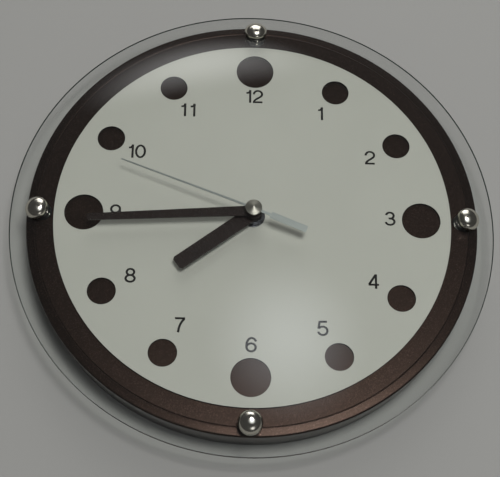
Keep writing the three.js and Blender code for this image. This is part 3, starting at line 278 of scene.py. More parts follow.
class ScrewSizes(bpy.types.PropertyGroup):
    """Dome-head screws, their spacers under the glass and their nuts behind the panel."""

    dome_radius: length("Dome radius", "Radius of the dome head", 7.8)
    dome_height: length("Dome height", "Height of the dome head", 6.2)
    dome_lip: length("Dome lip", "Upright rim of the dome head", 0.7)
    dome_base: length("Dome base", "Underside of the head over the middle of the glass", 1.8)
    dome_rings: count("Dome rings", "Steps from the top of the dome to its rim", 20)
    edge_break: length("Edge break", "Rounding of the rim", 0.2)
    stud_radius: length("Stud radius", "Radius of the threaded stud", 1.9)
    stud_end: length("Stud end", "How far the stud stands out of its nut", 2)
    stud_chamfer: length("Stud chamfer", "Chamfer at the end of the stud", 0.4)
    spacer_radius: length("Spacer radius", "Radius of the black spacer", 6.3)
    spacer_seat: length("Spacer seat", "Top of the spacer below the middle of the glass", 1.8)
    spacer_gap: length("Spacer gap", "Between spacer and panel", 0.3)
    nut_flats: length("Nut size", "Across the flats of the nut", 7)
    nut_height: length("Nut height", "Height of the nut", 2.8)
    nut_gap: length("Nut gap", "Between nut and boss", 0.3)
    steps: count("Facets", "Facets round a screw", 64)


class HandSizes(bpy.types.PropertyGroup):
    """Hands, which point to 12 before they are turned to the time."""

    hour_angle: angle("Hour angle", "Clockwise from 12", 232.2)
    minute_angle: angle("Minute angle", "Clockwise from 12", 265.9)
    second_angle: angle("Second angle", "Clockwise from 12", 291.3)
    hour_length: length("Hour length", "Middle of the clock to the tip", 61.5)
    hour_root: length("Hour root width", "Width of the hour hand at its hub", 10.1)
    hour_tip: length("Hour tip width", "Width of the hour hand at its tip", 9.8)
    hour_rear: length("Hour height", "Height of the hour hand's rear", 33.4)
    hour_bore: length("Hour bore", "Radius of the hour hand's hole", 3.0)
    minute_length: length("Minute length", "Middle of the clock to the tip", 108)
    minute_root: length("Minute root width", "Width of the minute hand at its hub", 7.1)
    minute_tip: length("Minute tip width", "Width of the minute hand at its tip", 4.8)
    minute_rear: length("Minute height", "Height of the minute hand's rear", 36.6)
    minute_bore: length("Minute bore", "Radius of the minute hand's hole", 1.8)
    thickness: length("Thickness", "Thickness of the two hands", 0.6)
    tip_chamfer: length("Tip chamfer", "Cut corners of the tips", 1.5)
    hub_radius: length("Hub radius", "Round hub of the two hands", 5.8)
    collar_height: length("Collar height", "Collar under the hub", 1.5)
    collar_wall: length("Collar wall", "Wall of the collar round its bore", 1.5)
    edge_break: length("Edge break", "Rounding of the edges", 0.12)
    second_length: length("Second length", "Middle of the clock to the tip", 93.6)
    second_root: length("Second root width", "Width of the pointer at its hub", 1.5)
    second_tip: length("Second tip width", "Width of the pointer at its tip", 0.9)
    second_drop: length("Second drop", "Fall of the pointer from hub to tip", 1.6)
    second_rear: length("Second height", "Height of the second hand's rear", 40.8)
    second_thickness: length("Second thickness", "Thickness of the second hand", 0.4)
    second_hub: length("Second hub", "Radius of the second hand's hub", 2.6)
    tail_length: length("Tail length", "Middle of the clock to the end of the tail", 37.1)
    tail_drop: length("Tail drop", "Fall of the tail from hub to end", 2.1)
    tail_start: length("Tail start", "Middle of the clock to the wide part of the tail", 12)
    tail_width: length("Tail width", "Width of the wide part", 4.7)
    neck_width: length("Neck width", "Width of the neck", 1.8)
    cap_radius: length("Cap radius", "Radius of the cap on the second hand", 5.45)
    cap_rear: length("Cap height", "Height of the cap's rear", 41.3)
    cap_brim: length("Cap brim", "Upright brim of the cap", 0.9)
    cap_cone: length("Cap cone", "Height of the cap's cone", 1.7)
    cap_tip: length("Cap tip", "Radius of the cone's flat tip", 0.5)
    steps: count("Facets", "Facets round a hub", 64)


class ClampSizes(bpy.types.PropertyGroup):
    """Washer, nut and threaded bushing that hold the movement to the dial."""

    washer_radius: length("Washer radius", "Outside radius of the washer", 7.9)
    washer_rear: length("Washer height", "Height of the washer's rear", 28.1)
    washer_thickness: length("Washer thickness", "Thickness of the washer", 0.7)
    nut_flats: length("Nut size", "Across the flats of the nut", 11.4)
    nut_rear: length("Nut height", "Height of the nut's rear", 28.9)
    nut_thickness: length("Nut thickness", "Thickness of the nut", 2.3)
    bushing_radius: length("Bushing radius", "Outside radius of the thread", 4)
    edge_break: length("Edge break", "Rounding of the edges", 0.3)
    steps: count("Facets", "Facets round the washer", 64)


class MovementSizes(bpy.types.PropertyGroup):
    """Moulded housing of the quartz movement, its cover and the knob that sets the hands."""

    size: length("Size", "Side of the square housing", 56)
    corner: length("Corner", "Radius of the upright corners", 3)
    front: length("Front", "Height of the housing's front", 23.2)
    inside: length("Inside", "Height of the rooms' floor, behind the front wall", 21.9)
    rear: length("Rear", "Height of the housing's rear rim", 8.35)
    wall: length("Wall", "Thickness of the walls", 1.5)
    bay: length("Bay", "Width of the battery bay", 14.5)
    partition: length("Partition", "Wall between the bay and the wheels", 1.2)
    lug_width: length("Lug width", "Width of the snap lugs on the sides", 8)
    lug_height: length("Lug height", "Height of the snap lugs", 3)
    lug_reach: length("Lug reach", "How far the snap lugs stand out", 0.7)
    bushing_radius: length("Bushing radius", "Outside radius of the thread", 4)
    bushing_bore: length("Bushing bore", "Radius of the bore for the tubes", 3.1)
    bushing_top: length("Bushing top", "Height of the bushing's end", 31.6)
    pitch: length("Pitch", "Distance between the thread's crests", 0.75)
    thread_depth: length("Thread depth", "Depth of the thread", 0.4)
    cover_front: length("Cover front", "Height of the cover's front", 8.25)
    cover_rear: length("Cover rear", "Height of the cover's rear", 7.05)
    cover_break: length("Cover edge break", "Rounding of the cover's edges", 0.18)
    arbor_hole: length("Arbor hole", "Radius of the hole for the setting arbor", 1.8)
    panel_depth: length("Panel depth", "Depth of the sunk panel in the cover", 0.225)
    knob_place: length("Knob place", "From the middle to the left and up to the knob", 11.803)
    knob_radius: length("Knob radius", "Outside radius of the knob", 5)
    knob_rear: length("Knob rear", "Height of the knob's rear", 3.95)
    knob_front: length("Knob front", "Height of the knob's front", 6.55)
    knob_break: length("Knob edge break", "Rounding of the knob's edges", 0.12)
    hollow_radius: length("Hollow radius", "Radius of the knob's hollow at its rear", 3.6)
    hollow_floor: length("Hollow floor", "Radius of the hollow's floor", 3)
    socket_radius: length("Socket radius", "Radius of the knob's socket for the arbor", 1.6)
    socket_floor: length("Socket floor", "From the knob's rear to the socket", 1.35)
    dish_radius: length("Dish radius", "Radius of the sunk ring round the knob", 7.4)
    dish_start: length("Dish start", "Inner radius of the sunk ring", 2.75)
    dish_depth: length("Dish depth", "Depth of the sunk ring and of the knob's hollow", 0.45)
    groove_radius: length("Groove radius", "Radius of the knob's finger grooves", 0.42)
    edge_break: length("Edge break", "Rounding of the moulded edges", 0.3)
    grooves: count("Grooves", "Finger grooves round the knob", 24)
    groove_steps: count("Groove facets", "Facets round a finger groove", 16)
    steps: count("Facets", "Facets round the knob and the bushing", 72)


class BatterySizes(bpy.types.PropertyGroup):
    """Round cell that lies across the housing, positive end to the right."""

    radius: length("Radius", "Radius of the cell", 7.1)
    half: length("Half length", "Half the length of the can", 24.65)
    shift: length("Shift", "Middle of the can to the right of the clock's middle", 0.2)
    nub_radius: length("Nub radius", "Radius of the positive end's nub", 2.7)
    nub_length: length("Nub length", "Length of the nub", 1.1)
    below: length("Below", "From the clock's middle down to the cell", 19.25)
    height: length("Height", "Height of the cell's axis", 14.65)
    sink: length("Sink", "How far the flat ends lie inside the can's rims", 0.3)
    front_rim: length("Positive rim", "Width of the rim at the positive end", 0.6)
    front_foot: length("Positive foot", "From the can's side to the foot of that rim", 1.2)
    back_rim: length("Negative rim", "Width of the rim at the negative end", 0.9)
    back_foot: length("Negative foot", "From the can's side to the foot of that rim", 1.5)
    edge_break: length("Edge break", "Rounding of the edges", 0.24)
    steps: count("Facets", "Facets round the cell", 72)


class HangerSizes(bpy.types.PropertyGroup):
    """Pressed hanger plate with a keyhole, and its two screws."""

    above: length("Above", "From the clock's middle up to the plate", 105)
    half_width: length("Half width", "Half the width of the plate", 25)
    half_height: length("Half height", "Half the height of the plate", 11)
    raised: length("Raised half width", "Half the width of the raised middle", 13)
    raise_height: length("Raise", "How far the middle stands back", 2.2)
    from_wall: length("From wall", "Height of the raised middle's rear", 1)
    thickness: length("Thickness", "Thickness of the sheet", 1.2)
    corner: length("Corner", "Rounding of the plate's corners", 2.5)
    keyhole_radius: length("Keyhole radius", "Round end of the keyhole", 5)
    slot_radius: length("Slot radius", "Half the width of the keyhole's slot", 2.5)
    keyhole_length: length("Keyhole length", "Between the keyhole's two ends", 9)
    screw_place: length("Screw place", "From the middle to either screw", 19)
    hole_radius: length("Hole radius", "Holes for the screws", 1.7)
    screw_radius: length("Screw radius", "Radius of the shank", 1.4)
    screw_end: length("Screw end", "Height of the screw's end", 12.4)
    head_radius: length("Head radius", "Radius of the pan head", 2.8)
    head_rear: length("Head rear", "Height of the head's rear", 1.6)
    head_front: length("Head front", "Height of the head's underside", 3.1)
    head_rim: length("Head rim", "Upright rim of the head", 0.675)
    head_flat: length("Head flat", "Radius of the flat of the head", 1.54)
    head_round: length("Head round", "Radius where the head bends down to its rim", 2.38)
    cross: length("Cross recess", "Half the length of the cross recess", 1.7)
    cross_width: length("Cross width", "Width of the recess", 0.7)
    cross_depth: length("Cross depth", "Depth of the recess", 0.9)
    edge_break: length("Edge break", "Rounding of the edges", 0.2)
    steps: count("Facets", "Facets round a screw", 40)


class StageSettings(bpy.types.PropertyGroup):
    """Floor, lights and camera."""

    floor: colour("Floor", "Plain pale floor", "#A2A19D")
    floor_size: length("Floor size", "Side of the floor", 16000)
    sky: factor("Sky", "Even light from all round", 0.06)
    key_power: power("Key power", "Soft light overhead", 16)
    key_size: length("Key size", "Side of the soft light", 500)
    key: point("Key", "Place of the soft light", (0.27, -0.03, 1.85))
    glow_power: power("Glow power", "Cool sheen overhead", 9)
    glow_size: length("Glow size", "Side of the cool sheen", 1600)
    glow_tint: colour("Glow tint", "Cool tint of the sheen, as from a window", "#F0F5FA")
    glow: point("Glow", "Place of the cool sheen, which the glass mirrors near 6", (0.34, -0.42, 1.75))
    window_power: power("Window power", "Faint far sheen", 3)
    window_width: length("Window width", "Width of the light at the far side", 1700)
    window_height: length("Window height", "Height of the light at the far side", 700)
    window: point("Window", "Place of the light at the far side", (-0.3, 1.6, 0.58))
    far_power: power("Far power", "Soft light over the far side", 14)
    far_size: length("Far size", "Side of the light over the far side", 1500)
    far: point("Far light", "Place of the light over the far side", (0.1, 1.9, 1.1))
    panel_power: power("Panel power", "Panel for the metals", 2)
    panel_size: length("Panel size", "Side of the panel below the camera", 900)
    panel: point("Panel", "Place of the panel below the camera", (0.45, -1.5, 0.75))
    lens: length("Lens", "Focal length for the camera's sensor", 91.57)
    distance: length("Distance", "Camera to the point that it looks at", 829.7)
    azimuth: angle("Azimuth", "Camera's turn from the 6 o'clock side towards 3", -3.367)
    elevation: angle("Elevation", "Camera's height over the dial", 65.243)
    roll: angle("Roll", "Camera's turn about its own axis", -4.564)
    aim: point("Aim", "Middle of the picture, on the dial", (-1.741 * MM, -15.554 * MM, 28 * MM))


# Node materials

def add(tree, kind, inputs=None, stops=(), blend="LINEAR", **settings):
    """Adds a node with its settings, colour stops and inputs, and returns its outputs.

    An input, by name or number, is a value or the socket that feeds it.
    """
    node = tree.nodes.new(kind)
    for key, value in settings.items():
        setattr(node, key, value)
    if stops:
        node.color_ramp.interpolation = blend
        elements = node.color_ramp.elements
        while len(elements) < len(stops):
            elements.new(0.5)
        for element, (position, value) in zip(elements, stops):
            element.position = position
            element.color = value
    for name, value in (inputs or {}).items():
        if isinstance(value, bpy.types.NodeSocket):
            tree.links.new(value, node.inputs[name])
        else:
            node.inputs[name].default_value = value
    return node.outputs


def per(millimetres):
    """Texture scale whose features are about this far apart."""
    return 1 / (millimetres * MM)


def shade(value, share):
    """A colour made darker or lighter, to this share."""
    return (*(min(1.0, channel * share) for channel in value[:3]), 1.0)


def start(name):
    """An empty material, its node tree and the object's coordinates."""
    material = bpy.data.materials.get(name) or bpy.data.materials.new(name)
    material.use_nodes = True
    tree = material.node_tree
    tree.nodes.clear()
    return material, tree, add(tree, "ShaderNodeTexCoord")["Object"]


def metallic_lacquer(colours):
    """Brown base with flakes under clear lacquer, the flakes drawn lighter as painted glints: sparkle near
    to, a smooth sheen from afar.
    """
    material, tree, place = start("metallic_lacquer")
    # Real flakes are about 0.05 mm; drawn at 0.45 mm, so that they show at all
    flakes = add(tree, "ShaderNodeTexVoronoi", {"Vector": place, "Scale": per(0.45)})
    # The lightest stop is partly painted glint: random flakes drawn as if they caught the light
    stops = ((0.0, shade(colours.paint, 0.8)), (0.66, colours.paint), (1.0, colours.flake))
    tone = add(tree, "ShaderNodeValToRGB", {"Fac": flakes["Color"]}, stops)["Color"]
    cloud = add(tree, "ShaderNodeTexNoise", {"Vector": place, "Scale": per(30)})["Fac"]
    gloss = add(tree, "ShaderNodeMapRange", {"Value": cloud, "To Min": 0.26, "To Max": 0.31})["Result"]
    normal = add(tree, "ShaderNodeBump", {"Height": flakes["Distance"], "Distance": 0.008 * MM})["Normal"]
    surface = add(tree, "ShaderNodeBsdfPrincipled", {
        "Base Color": tone,
        "Metallic": 0.9,
        "Roughness": gloss,
        "Coat Weight": 0.2,
        "Coat Roughness": 0.07,
        "Normal": normal,
    })["BSDF"]
    add(tree, "ShaderNodeOutputMaterial", {"Surface": surface})
    return material


def satin_dial_coat(colours):
    """Fine silver-white satin: even, with a soft gloss and a trace of grain."""
    material, tree, place = start("satin_dial_coat")
    cloud = add(tree, "ShaderNodeTexNoise", {"Vector": place, "Scale": per(45)})["Fac"]
    stops = ((0.3, shade(colours.dial, 0.97)), (0.7, colours.dial))
    tone = add(tree, "ShaderNodeValToRGB", {"Fac": cloud}, stops)["Color"]
    # The real grain is finer than 0.1 mm; drawn at 0.6 mm, so that it shows at all
    grain = add(tree, "ShaderNodeTexNoise", {"Vector": place, "Scale": per(0.6)})["Fac"]
    gloss = add(tree, "ShaderNodeMapRange", {"Value": grain, "To Min": 0.5, "To Max": 0.6})["Result"]
    normal = add(tree, "ShaderNodeBump", {"Height": grain, "Distance": 0.004 * MM})["Normal"]
    inputs = {"Base Color": tone, "Roughness": gloss, "Normal": normal}
    surface = add(tree, "ShaderNodeBsdfPrincipled", inputs)["BSDF"]
    add(tree, "ShaderNodeOutputMaterial", {"Surface": surface})
    return material


def dial_board(colours):
    """Cut edge of the dial, painted near-black as painted shadow: a thin dark line round each hole and the
    rim, where shade falls in and under the holes.
    """
    material, tree, place = start("dial_board")
    fibre = add(tree, "ShaderNodeTexNoise", {"Vector": place, "Scale": per(0.8)})["Fac"]
    stops = ((0.3, shade(colours.ink, 0.85)), (0.7, colours.ink))
    tone = add(tree, "ShaderNodeValToRGB", {"Fac": fibre}, stops)["Color"]
    gloss = add(tree, "ShaderNodeMapRange", {"Value": fibre, "To Min": 0.65, "To Max": 0.8})["Result"]
    inputs = {"Base Color": tone, "Roughness": gloss, "Specular IOR Level": 0.2}
    surface = add(tree, "ShaderNodeBsdfPrincipled", inputs)["BSDF"]
    add(tree, "ShaderNodeOutputMaterial", {"Surface": surface})
    return material


def screen_ink(colours):
    """Matt screen-printed ink, a little uneven."""
    material, tree, place = start("screen_ink")
    cloud = add(tree, "ShaderNodeTexNoise", {"Vector": place, "Scale": per(1.5)})["Fac"]
    stops = ((0.3, shade(colours.ink, 0.85)), (0.7, shade(colours.ink, 1.1)))
    tone = add(tree, "ShaderNodeValToRGB", {"Fac": cloud}, stops)["Color"]
    mesh = add(tree, "ShaderNodeTexNoise", {"Vector": place, "Scale": per(0.5)})["Fac"]
    gloss = add(tree, "ShaderNodeMapRange", {"Value": mesh, "To Min": 0.5, "To Max": 0.62})["Result"]
    inputs = {"Base Color": tone, "Roughness": gloss, "Specular IOR Level": 0.25}
    surface = add(tree, "ShaderNodeBsdfPrincipled", inputs)["BSDF"]
    add(tree, "ShaderNodeOutputMaterial", {"Surface": surface})
    return material


def soda_lime_glass(colours):
    """Clear glass: sharp reflections, bent view, green only where the way through it is long."""
    material, tree, place = start("soda_lime_glass")
    smear = add(tree, "ShaderNodeTexNoise", {"Vector": place, "Scale": per(60)})["Fac"]
    gloss = add(tree, "ShaderNodeMapRange", {
        "Value": smear,
        "From Min": 0.45,
        "From Max": 0.8,
        "To Min": 0.0,
        "To Max": 0.012,
    })["Result"]
    bent = add(tree, "ShaderNodeBsdfPrincipled", {
        "Base Color": tuple(colours.glass),
        "Roughness": gloss,
        "IOR": GLASS_IOR,
        "Transmission Weight": 1.0,
    })["BSDF"]
    # Light that reaches the dial goes straight through, because bent light from lamps is too noisy to draw
    path = add(tree, "ShaderNodeLightPath")
    rays = {0: path["Is Shadow Ray"], 1: path["Is Diffuse Ray"]}
    straight = add(tree, "ShaderNodeMath", rays, operation="MAXIMUM")["Value"]
    clear = add(tree, "ShaderNodeBsdfTransparent", {"Color": tuple(colours.glass)})["BSDF"]
    surface = add(tree, "ShaderNodeMixShader", {"Fac": straight, 1: bent, 2: clear})["Shader"]
    tint = {"Color": tuple(colours.glass_depth), "Density": 3.0}
    depth = add(tree, "ShaderNodeVolumeAbsorption", tint)["Volume"]
    add(tree, "ShaderNodeOutputMaterial", {"Surface": surface, "Volume": depth})
    return material


def ground_glass_edge(colours):
    """Ground edge of the glass: the green of the glass painted dark as painted shade, a dark line round the
    rim; silky where it catches light.
    """
    material, tree, place = start("ground_glass_edge")
    # Real grinding marks are finer than 0.1 mm; drawn at 1.2 mm, so that they show at all
    grind = add(tree, "ShaderNodeTexNoise", {"Vector": place, "Scale": per(1.2), "Detail": 3.0})["Fac"]
    stops = ((0.3, shade(colours.glass_edge, 0.85)), (0.7, colours.glass_edge))
    tone = add(tree, "ShaderNodeValToRGB", {"Fac": grind}, stops)["Color"]
    gloss = add(tree, "ShaderNodeMapRange", {"Value": grind, "To Min": 0.28, "To Max": 0.4})["Result"]
    normal = add(tree, "ShaderNodeBump", {"Height": grind, "Distance": 0.004 * MM})["Normal"]
    inputs = {"Base Color": tone, "Roughness": gloss, "IOR": GLASS_IOR, "Normal": normal}
    surface = add(tree, "ShaderNodeBsdfPrincipled", inputs)["BSDF"]
    add(tree, "ShaderNodeOutputMaterial", {"Surface": surface})
    return material


def chrome_plate(colours):
    """Plate with a soft mirror and a few faint smudges; its colour is darkened as a painted dark reflection
    of the dark surroundings it mirrors.
    """
    material, tree, place = start("chrome_plate")
    smudge = add(tree, "ShaderNodeTexNoise", {"Vector": place, "Scale": per(6), "Detail": 4.0})["Fac"]
    stops = ((0.3, shade(colours.chrome, 0.94)), (0.7, colours.chrome))
    tone = add(tree, "ShaderNodeValToRGB", {"Fac": smudge}, stops)["Color"]
    gloss = add(tree, "ShaderNodeMapRange", {
        "Value": smudge,
        "From Min": 0.3,
        "From Max": 0.8,
        "To Min": 0.14,
        "To Max": 0.22,
    })["Result"]
    inputs = {"Base Color": tone, "Metallic": 1.0, "Roughness": gloss}
    surface = add(tree, "ShaderNodeBsdfPrincipled", inputs)["BSDF"]
    add(tree, "ShaderNodeOutputMaterial", {"Surface": surface})
    return material


def turned_nickel(colours):
    """Polished nickel on a turned head: near a mirror, drawn out into a fan by the tool's fine lines."""
    material, tree, place = start("turned_nickel")
    smudge = add(tree, "ShaderNodeTexNoise", {"Vector": place, "Scale": per(4), "Detail": 4.0})["Fac"]
    stops = ((0.3, shade(colours.nickel, 0.92)), (0.7, colours.nickel))
    tone = add(tree, "ShaderNodeValToRGB", {"Fac": smudge}, stops)["Color"]
    gloss = add(tree, "ShaderNodeMapRange", {"Value": smudge, "To Min": 0.15, "To Max": 0.21})["Result"]
    surface = add(tree, "ShaderNodeBsdfPrincipled", {
        "Base Color": tone,
        "Metallic": 1.0,
        "Roughness": gloss,
        "Anisotropic": 0.7,
        "Tangent": add(tree, "ShaderNodeTangent", direction_type="RADIAL", axis="Z")["Tangent"],
    })["BSDF"]
    add(tree, "ShaderNodeOutputMaterial", {"Surface": surface})
    return material


def brushed_steel(colours, heading):
    """Rolled steel with fine lines along the hand, which points at this heading."""
    material, tree, place = start("brushed_steel")
    # Real lines are about 0.05 mm apart; drawn at 0.6 mm and 25 times as long, so that they show at all
    lie = {"Vector": place, "Rotation": (0, 0, -heading), "Scale": (1, 25, 1)}
    drawn = add(tree, "ShaderNodeMapping", lie, vector_type="TEXTURE")["Vector"]
    lines = add(tree, "ShaderNodeTexNoise", {"Vector": drawn, "Scale": per(0.6), "Detail": 3.0})["Fac"]
    stops = ((0.3, shade(colours.steel, 0.85)), (0.7, colours.steel))
    tone = add(tree, "ShaderNodeValToRGB", {"Fac": lines}, stops)["Color"]
    gloss = add(tree, "ShaderNodeMapRange", {"Value": lines, "To Min": 0.32, "To Max": 0.38})["Result"]
    normal = add(tree, "ShaderNodeBump", {"Height": lines, "Distance": 0.002 * MM})["Normal"]
    inputs = {"Base Color": tone, "Metallic": 0.9, "Roughness": gloss, "Normal": normal}
    surface = add(tree, "ShaderNodeBsdfPrincipled", inputs)["BSDF"]
    add(tree, "ShaderNodeOutputMaterial", {"Surface": surface})
    return material


def turned_aluminium(colours):
    """Fine turning lines round the axis, which spread the light into a fan."""
    material, tree, place = start("turned_aluminium")
    # Real lines are about 0.03 mm apart; drawn at 0.25 mm, so that they show at all
    wave = {"Vector": place, "Scale": per(0.25) / (2 * math.pi), "Distortion": 0.6}
    rings = add(tree, "ShaderNodeTexWave", wave, wave_type="RINGS", rings_direction="Z")["Fac"]
    stops = ((0.0, shade(colours.aluminium, 0.9)), (1.0, colours.aluminium))
    tone = add(tree, "ShaderNodeValToRGB", {"Fac": rings}, stops)["Color"]
    gloss = add(tree, "ShaderNodeMapRange", {"Value": rings, "To Min": 0.24, "To Max": 0.32})["Result"]
    surface = add(tree, "ShaderNodeBsdfPrincipled", {
        "Base Color": tone,
        "Metallic": 1.0,
        "Roughness": gloss,
        "Anisotropic": 0.6,
        "Tangent": add(tree, "ShaderNodeTangent", direction_type="RADIAL", axis="Z")["Tangent"],
        "Normal": add(tree, "ShaderNodeBump", {"Height": rings, "Distance": 0.003 * MM})["Normal"],
    })["BSDF"]
    add(tree, "ShaderNodeOutputMaterial", {"Surface": surface})
    return material


def moulded(name, base, roughness, grain_mm, grain_depth):
    """Moulded plastic, rubber or lacquer: fine grain, slight unevenness of tone and gloss."""
    material, tree, place = start(name)
    cloud = add(tree, "ShaderNodeTexNoise", {"Vector": place, "Scale": per(14)})["Fac"]
    stops = ((0.3, shade(base, 0.88)), (0.7, shade(base, 1.08)))
    tone = add(tree, "ShaderNodeValToRGB", {"Fac": cloud}, stops)["Color"]
    grain = add(tree, "ShaderNodeTexNoise", {"Vector": place, "Scale": per(grain_mm), "Detail": 3.0})["Fac"]
    span = {"Value": grain, "To Min": roughness - 0.06, "To Max": roughness + 0.06}
    gloss = add(tree, "ShaderNodeMapRange", span)["Result"]
    normal = add(tree, "ShaderNodeBump", {"Height": grain, "Distance": grain_depth * MM})["Normal"]
    inputs = {"Base Color": tone, "Roughness": gloss, "Normal": normal}
    surface = add(tree, "ShaderNodeBsdfPrincipled", inputs)["BSDF"]
    add(tree, "ShaderNodeOutputMaterial", {"Surface": surface})
    return material


def bare_metal(name, base, roughness, grain_mm):
    """Machined or plated metal: fine marks in tone, gloss and surface."""
    material, tree, place = start(name)
    marks = add(tree, "ShaderNodeTexNoise", {"Vector": place, "Scale": per(grain_mm), "Detail": 4.0})["Fac"]
    stops = ((0.25, shade(base, 0.82)), (0.75, base))
    tone = add(tree, "ShaderNodeValToRGB", {"Fac": marks}, stops)["Color"]
    span = {"Value": marks, "To Min": roughness - 0.07, "To Max": roughness + 0.09}
    gloss = add(tree, "ShaderNodeMapRange", span)["Result"]
    normal = add(tree, "ShaderNodeBump", {"Height": marks, "Distance": 0.005 * MM})["Normal"]
    inputs = {"Base Color": tone, "Metallic": 1.0, "Roughness": gloss, "Normal": normal}
    surface = add(tree, "ShaderNodeBsdfPrincipled", inputs)["BSDF"]
    add(tree, "ShaderNodeOutputMaterial", {"Surface": surface})
    return material


def hand_lacquer(colours):
    """Sprayed lacquer on the hands: dark brown, glossy, almost even."""
    return moulded("hand_lacquer", colours.hand, roughness=0.26, grain_mm=0.8, grain_depth=0.002)


def housing_plastic(colours):
    """Moulded ABS of the movement: black, half matt, with a fine sparked grain."""
    return moulded("housing_plastic", colours.housing, roughness=0.45, grain_mm=0.6, grain_depth=0.008)


def black_rubber(colours):
    """Moulded rubber: black and dull, with a fine grain."""
    return moulded("black_rubber", colours.rubber, roughness=0.55, grain_mm=0.5, grain_depth=0.006)


def black_epoxy(colours):
    """Epoxy moulded over the chip: black and dull, with a fine grain."""
    return moulded("black_epoxy", colours.rubber, roughness=0.55, grain_mm=0.5, grain_depth=0.006)


def gear_acetal(colours):
    """Moulded acetal of the wheels: milky and a little waxy."""
    return moulded("gear_acetal", colours.gear, roughness=0.4, grain_mm=1.0, grain_depth=0.003)


def bonded_magnet(colours):
    """Pressed magnet powder of the rotor: dark grey and dull."""
    return moulded("bonded_magnet", colours.magnet, roughness=0.5, grain_mm=0.3, grain_depth=0.004)


def solder_mask(colours):
    """Printed lacquer of the circuit board: green, half gloss, slightly wavy."""
    return moulded("solder_mask", colours.board, roughness=0.35, grain_mm=2.0, grain_depth=0.004)


def zinc_plate(colours):
    """Zinc-plated steel: pale grey, softly bright, with fine marks."""
    return bare_metal("zinc_plate", colours.zinc, roughness=0.34, grain_mm=1.2)


def machined_brass(colours):
    """Cut brass: warm yellow, bright, with fine marks."""
    return bare_metal("machined_brass", colours.brass, roughness=0.28, grain_mm=0.8)


def bright_steel(colours):
    """Rolled spring steel: grey and bright, with fine marks."""
    return bare_metal("bright_steel", colours.steel, roughness=0.3, grain_mm=1.0)


def soft_iron(colours):
    """Stamped iron sheet: grey, duller than steel."""
    return bare_metal("soft_iron", colours.iron, roughness=0.4, grain_mm=1.5)


def copper_wire(colours):
    """Wound enamelled wire: reddish, with a fine broken sheen."""
    return bare_metal("copper_wire", colours.copper, roughness=0.35, grain_mm=0.4)


def battery_film(colours, low, high):
    """Cell in a printed film: dark with a copper-coloured end, bare steel at both ends of the can."""
    material, tree, place = start("battery_film")
    along = add(tree, "ShaderNodeSeparateXYZ", {"Vector": place})["X"]
    share = add(tree, "ShaderNodeMapRange", {"Value": along, "From Min": low, "From Max": high})["Result"]
    # From the negative end: bare rim, dark film, copper-coloured band, bare rim
    bands = (0.0, 0.012, 0.7, 0.985)
    tones = (colours.zinc, colours.jacket, colours.jacket_band, colours.zinc)
    sheens = ((1, 1, 1, 1), (0.3, 0.3, 0.3, 1), (0.8, 0.8, 0.8, 1), (1, 1, 1, 1))
    tone, sheen = (
        add(tree, "ShaderNodeValToRGB", {"Fac": share}, tuple(zip(bands, values)), "CONSTANT")["Color"]
        for values in (tones, sheens)
    )
    scuff = add(tree, "ShaderNodeTexNoise", {"Vector": place, "Scale": per(3), "Detail": 4.0})["Fac"]
    gloss = add(tree, "ShaderNodeMapRange", {"Value": scuff, "To Min": 0.24, "To Max": 0.34})["Result"]
    inputs = {"Base Color": tone, "Metallic": sheen, "Roughness": gloss}
    surface = add(tree, "ShaderNodeBsdfPrincipled", inputs)["BSDF"]
    add(tree, "ShaderNodeOutputMaterial", {"Surface": surface})
    return material


def floor_paint(floor_colour):
    """Pale matt floor paint with faint, wide clouds."""
    material, tree, place = start("pale_floor")
    cloud = add(tree, "ShaderNodeTexNoise", {"Vector": place, "Scale": per(400)})["Fac"]
    stops = ((0.3, shade(floor_colour, 0.97)), (0.7, tuple(floor_colour)))
    tone = add(tree, "ShaderNodeValToRGB", {"Fac": cloud}, stops)["Color"]
    surface = add(tree, "ShaderNodeBsdfPrincipled", {"Base Color": tone, "Roughness": 0.8})["BSDF"]
    add(tree, "ShaderNodeOutputMaterial", {"Surface": surface})
    return material


# Modelling helpers

def pick(*pieces):
    """Selects these pieces alone; the first is the active one."""
    bpy.ops.object.select_all(action="DESELECT")
    for piece in pieces:
        piece.select_set(True)
    bpy.context.view_layer.objects.active = pieces[0]


def edit_all(piece):
    """Opens a piece in edit mode with everything selected."""
    pick(piece)
    bpy.ops.object.mode_set(mode="EDIT")
    bpy.ops.mesh.select_all(action="SELECT")


def close_edit():
    """Goes back to object mode."""
    bpy.ops.object.mode_set(mode="OBJECT")


def added():
    """The object that the last add operator made, with its place in its mesh."""
    piece = bpy.context.object
    pick(piece)
    bpy.ops.object.transform_apply(location=True, rotation=True, scale=True)
    return piece


def block(low, high):
    """A box between two corners."""
    low = Vector(low)
    high = Vector(high)
    bpy.ops.object.select_all(action="DESELECT")
    bpy.ops.mesh.primitive_cube_add(size=1, location=(low + high) / 2, scale=high - low)
    return added()


def rod(radius, low, high, steps, place=(0, 0), top_radius=None):
    """A round bar along Z, which tapers if its top has another radius."""
    bpy.ops.object.select_all(action="DESELECT")
    bpy.ops.mesh.primitive_cone_add(
        vertices=steps,
        radius1=radius,
        radius2=radius if top_radius is None else top_radius,
        depth=high - low,
        location=(*place, (low + high) / 2),
    )
    return added()


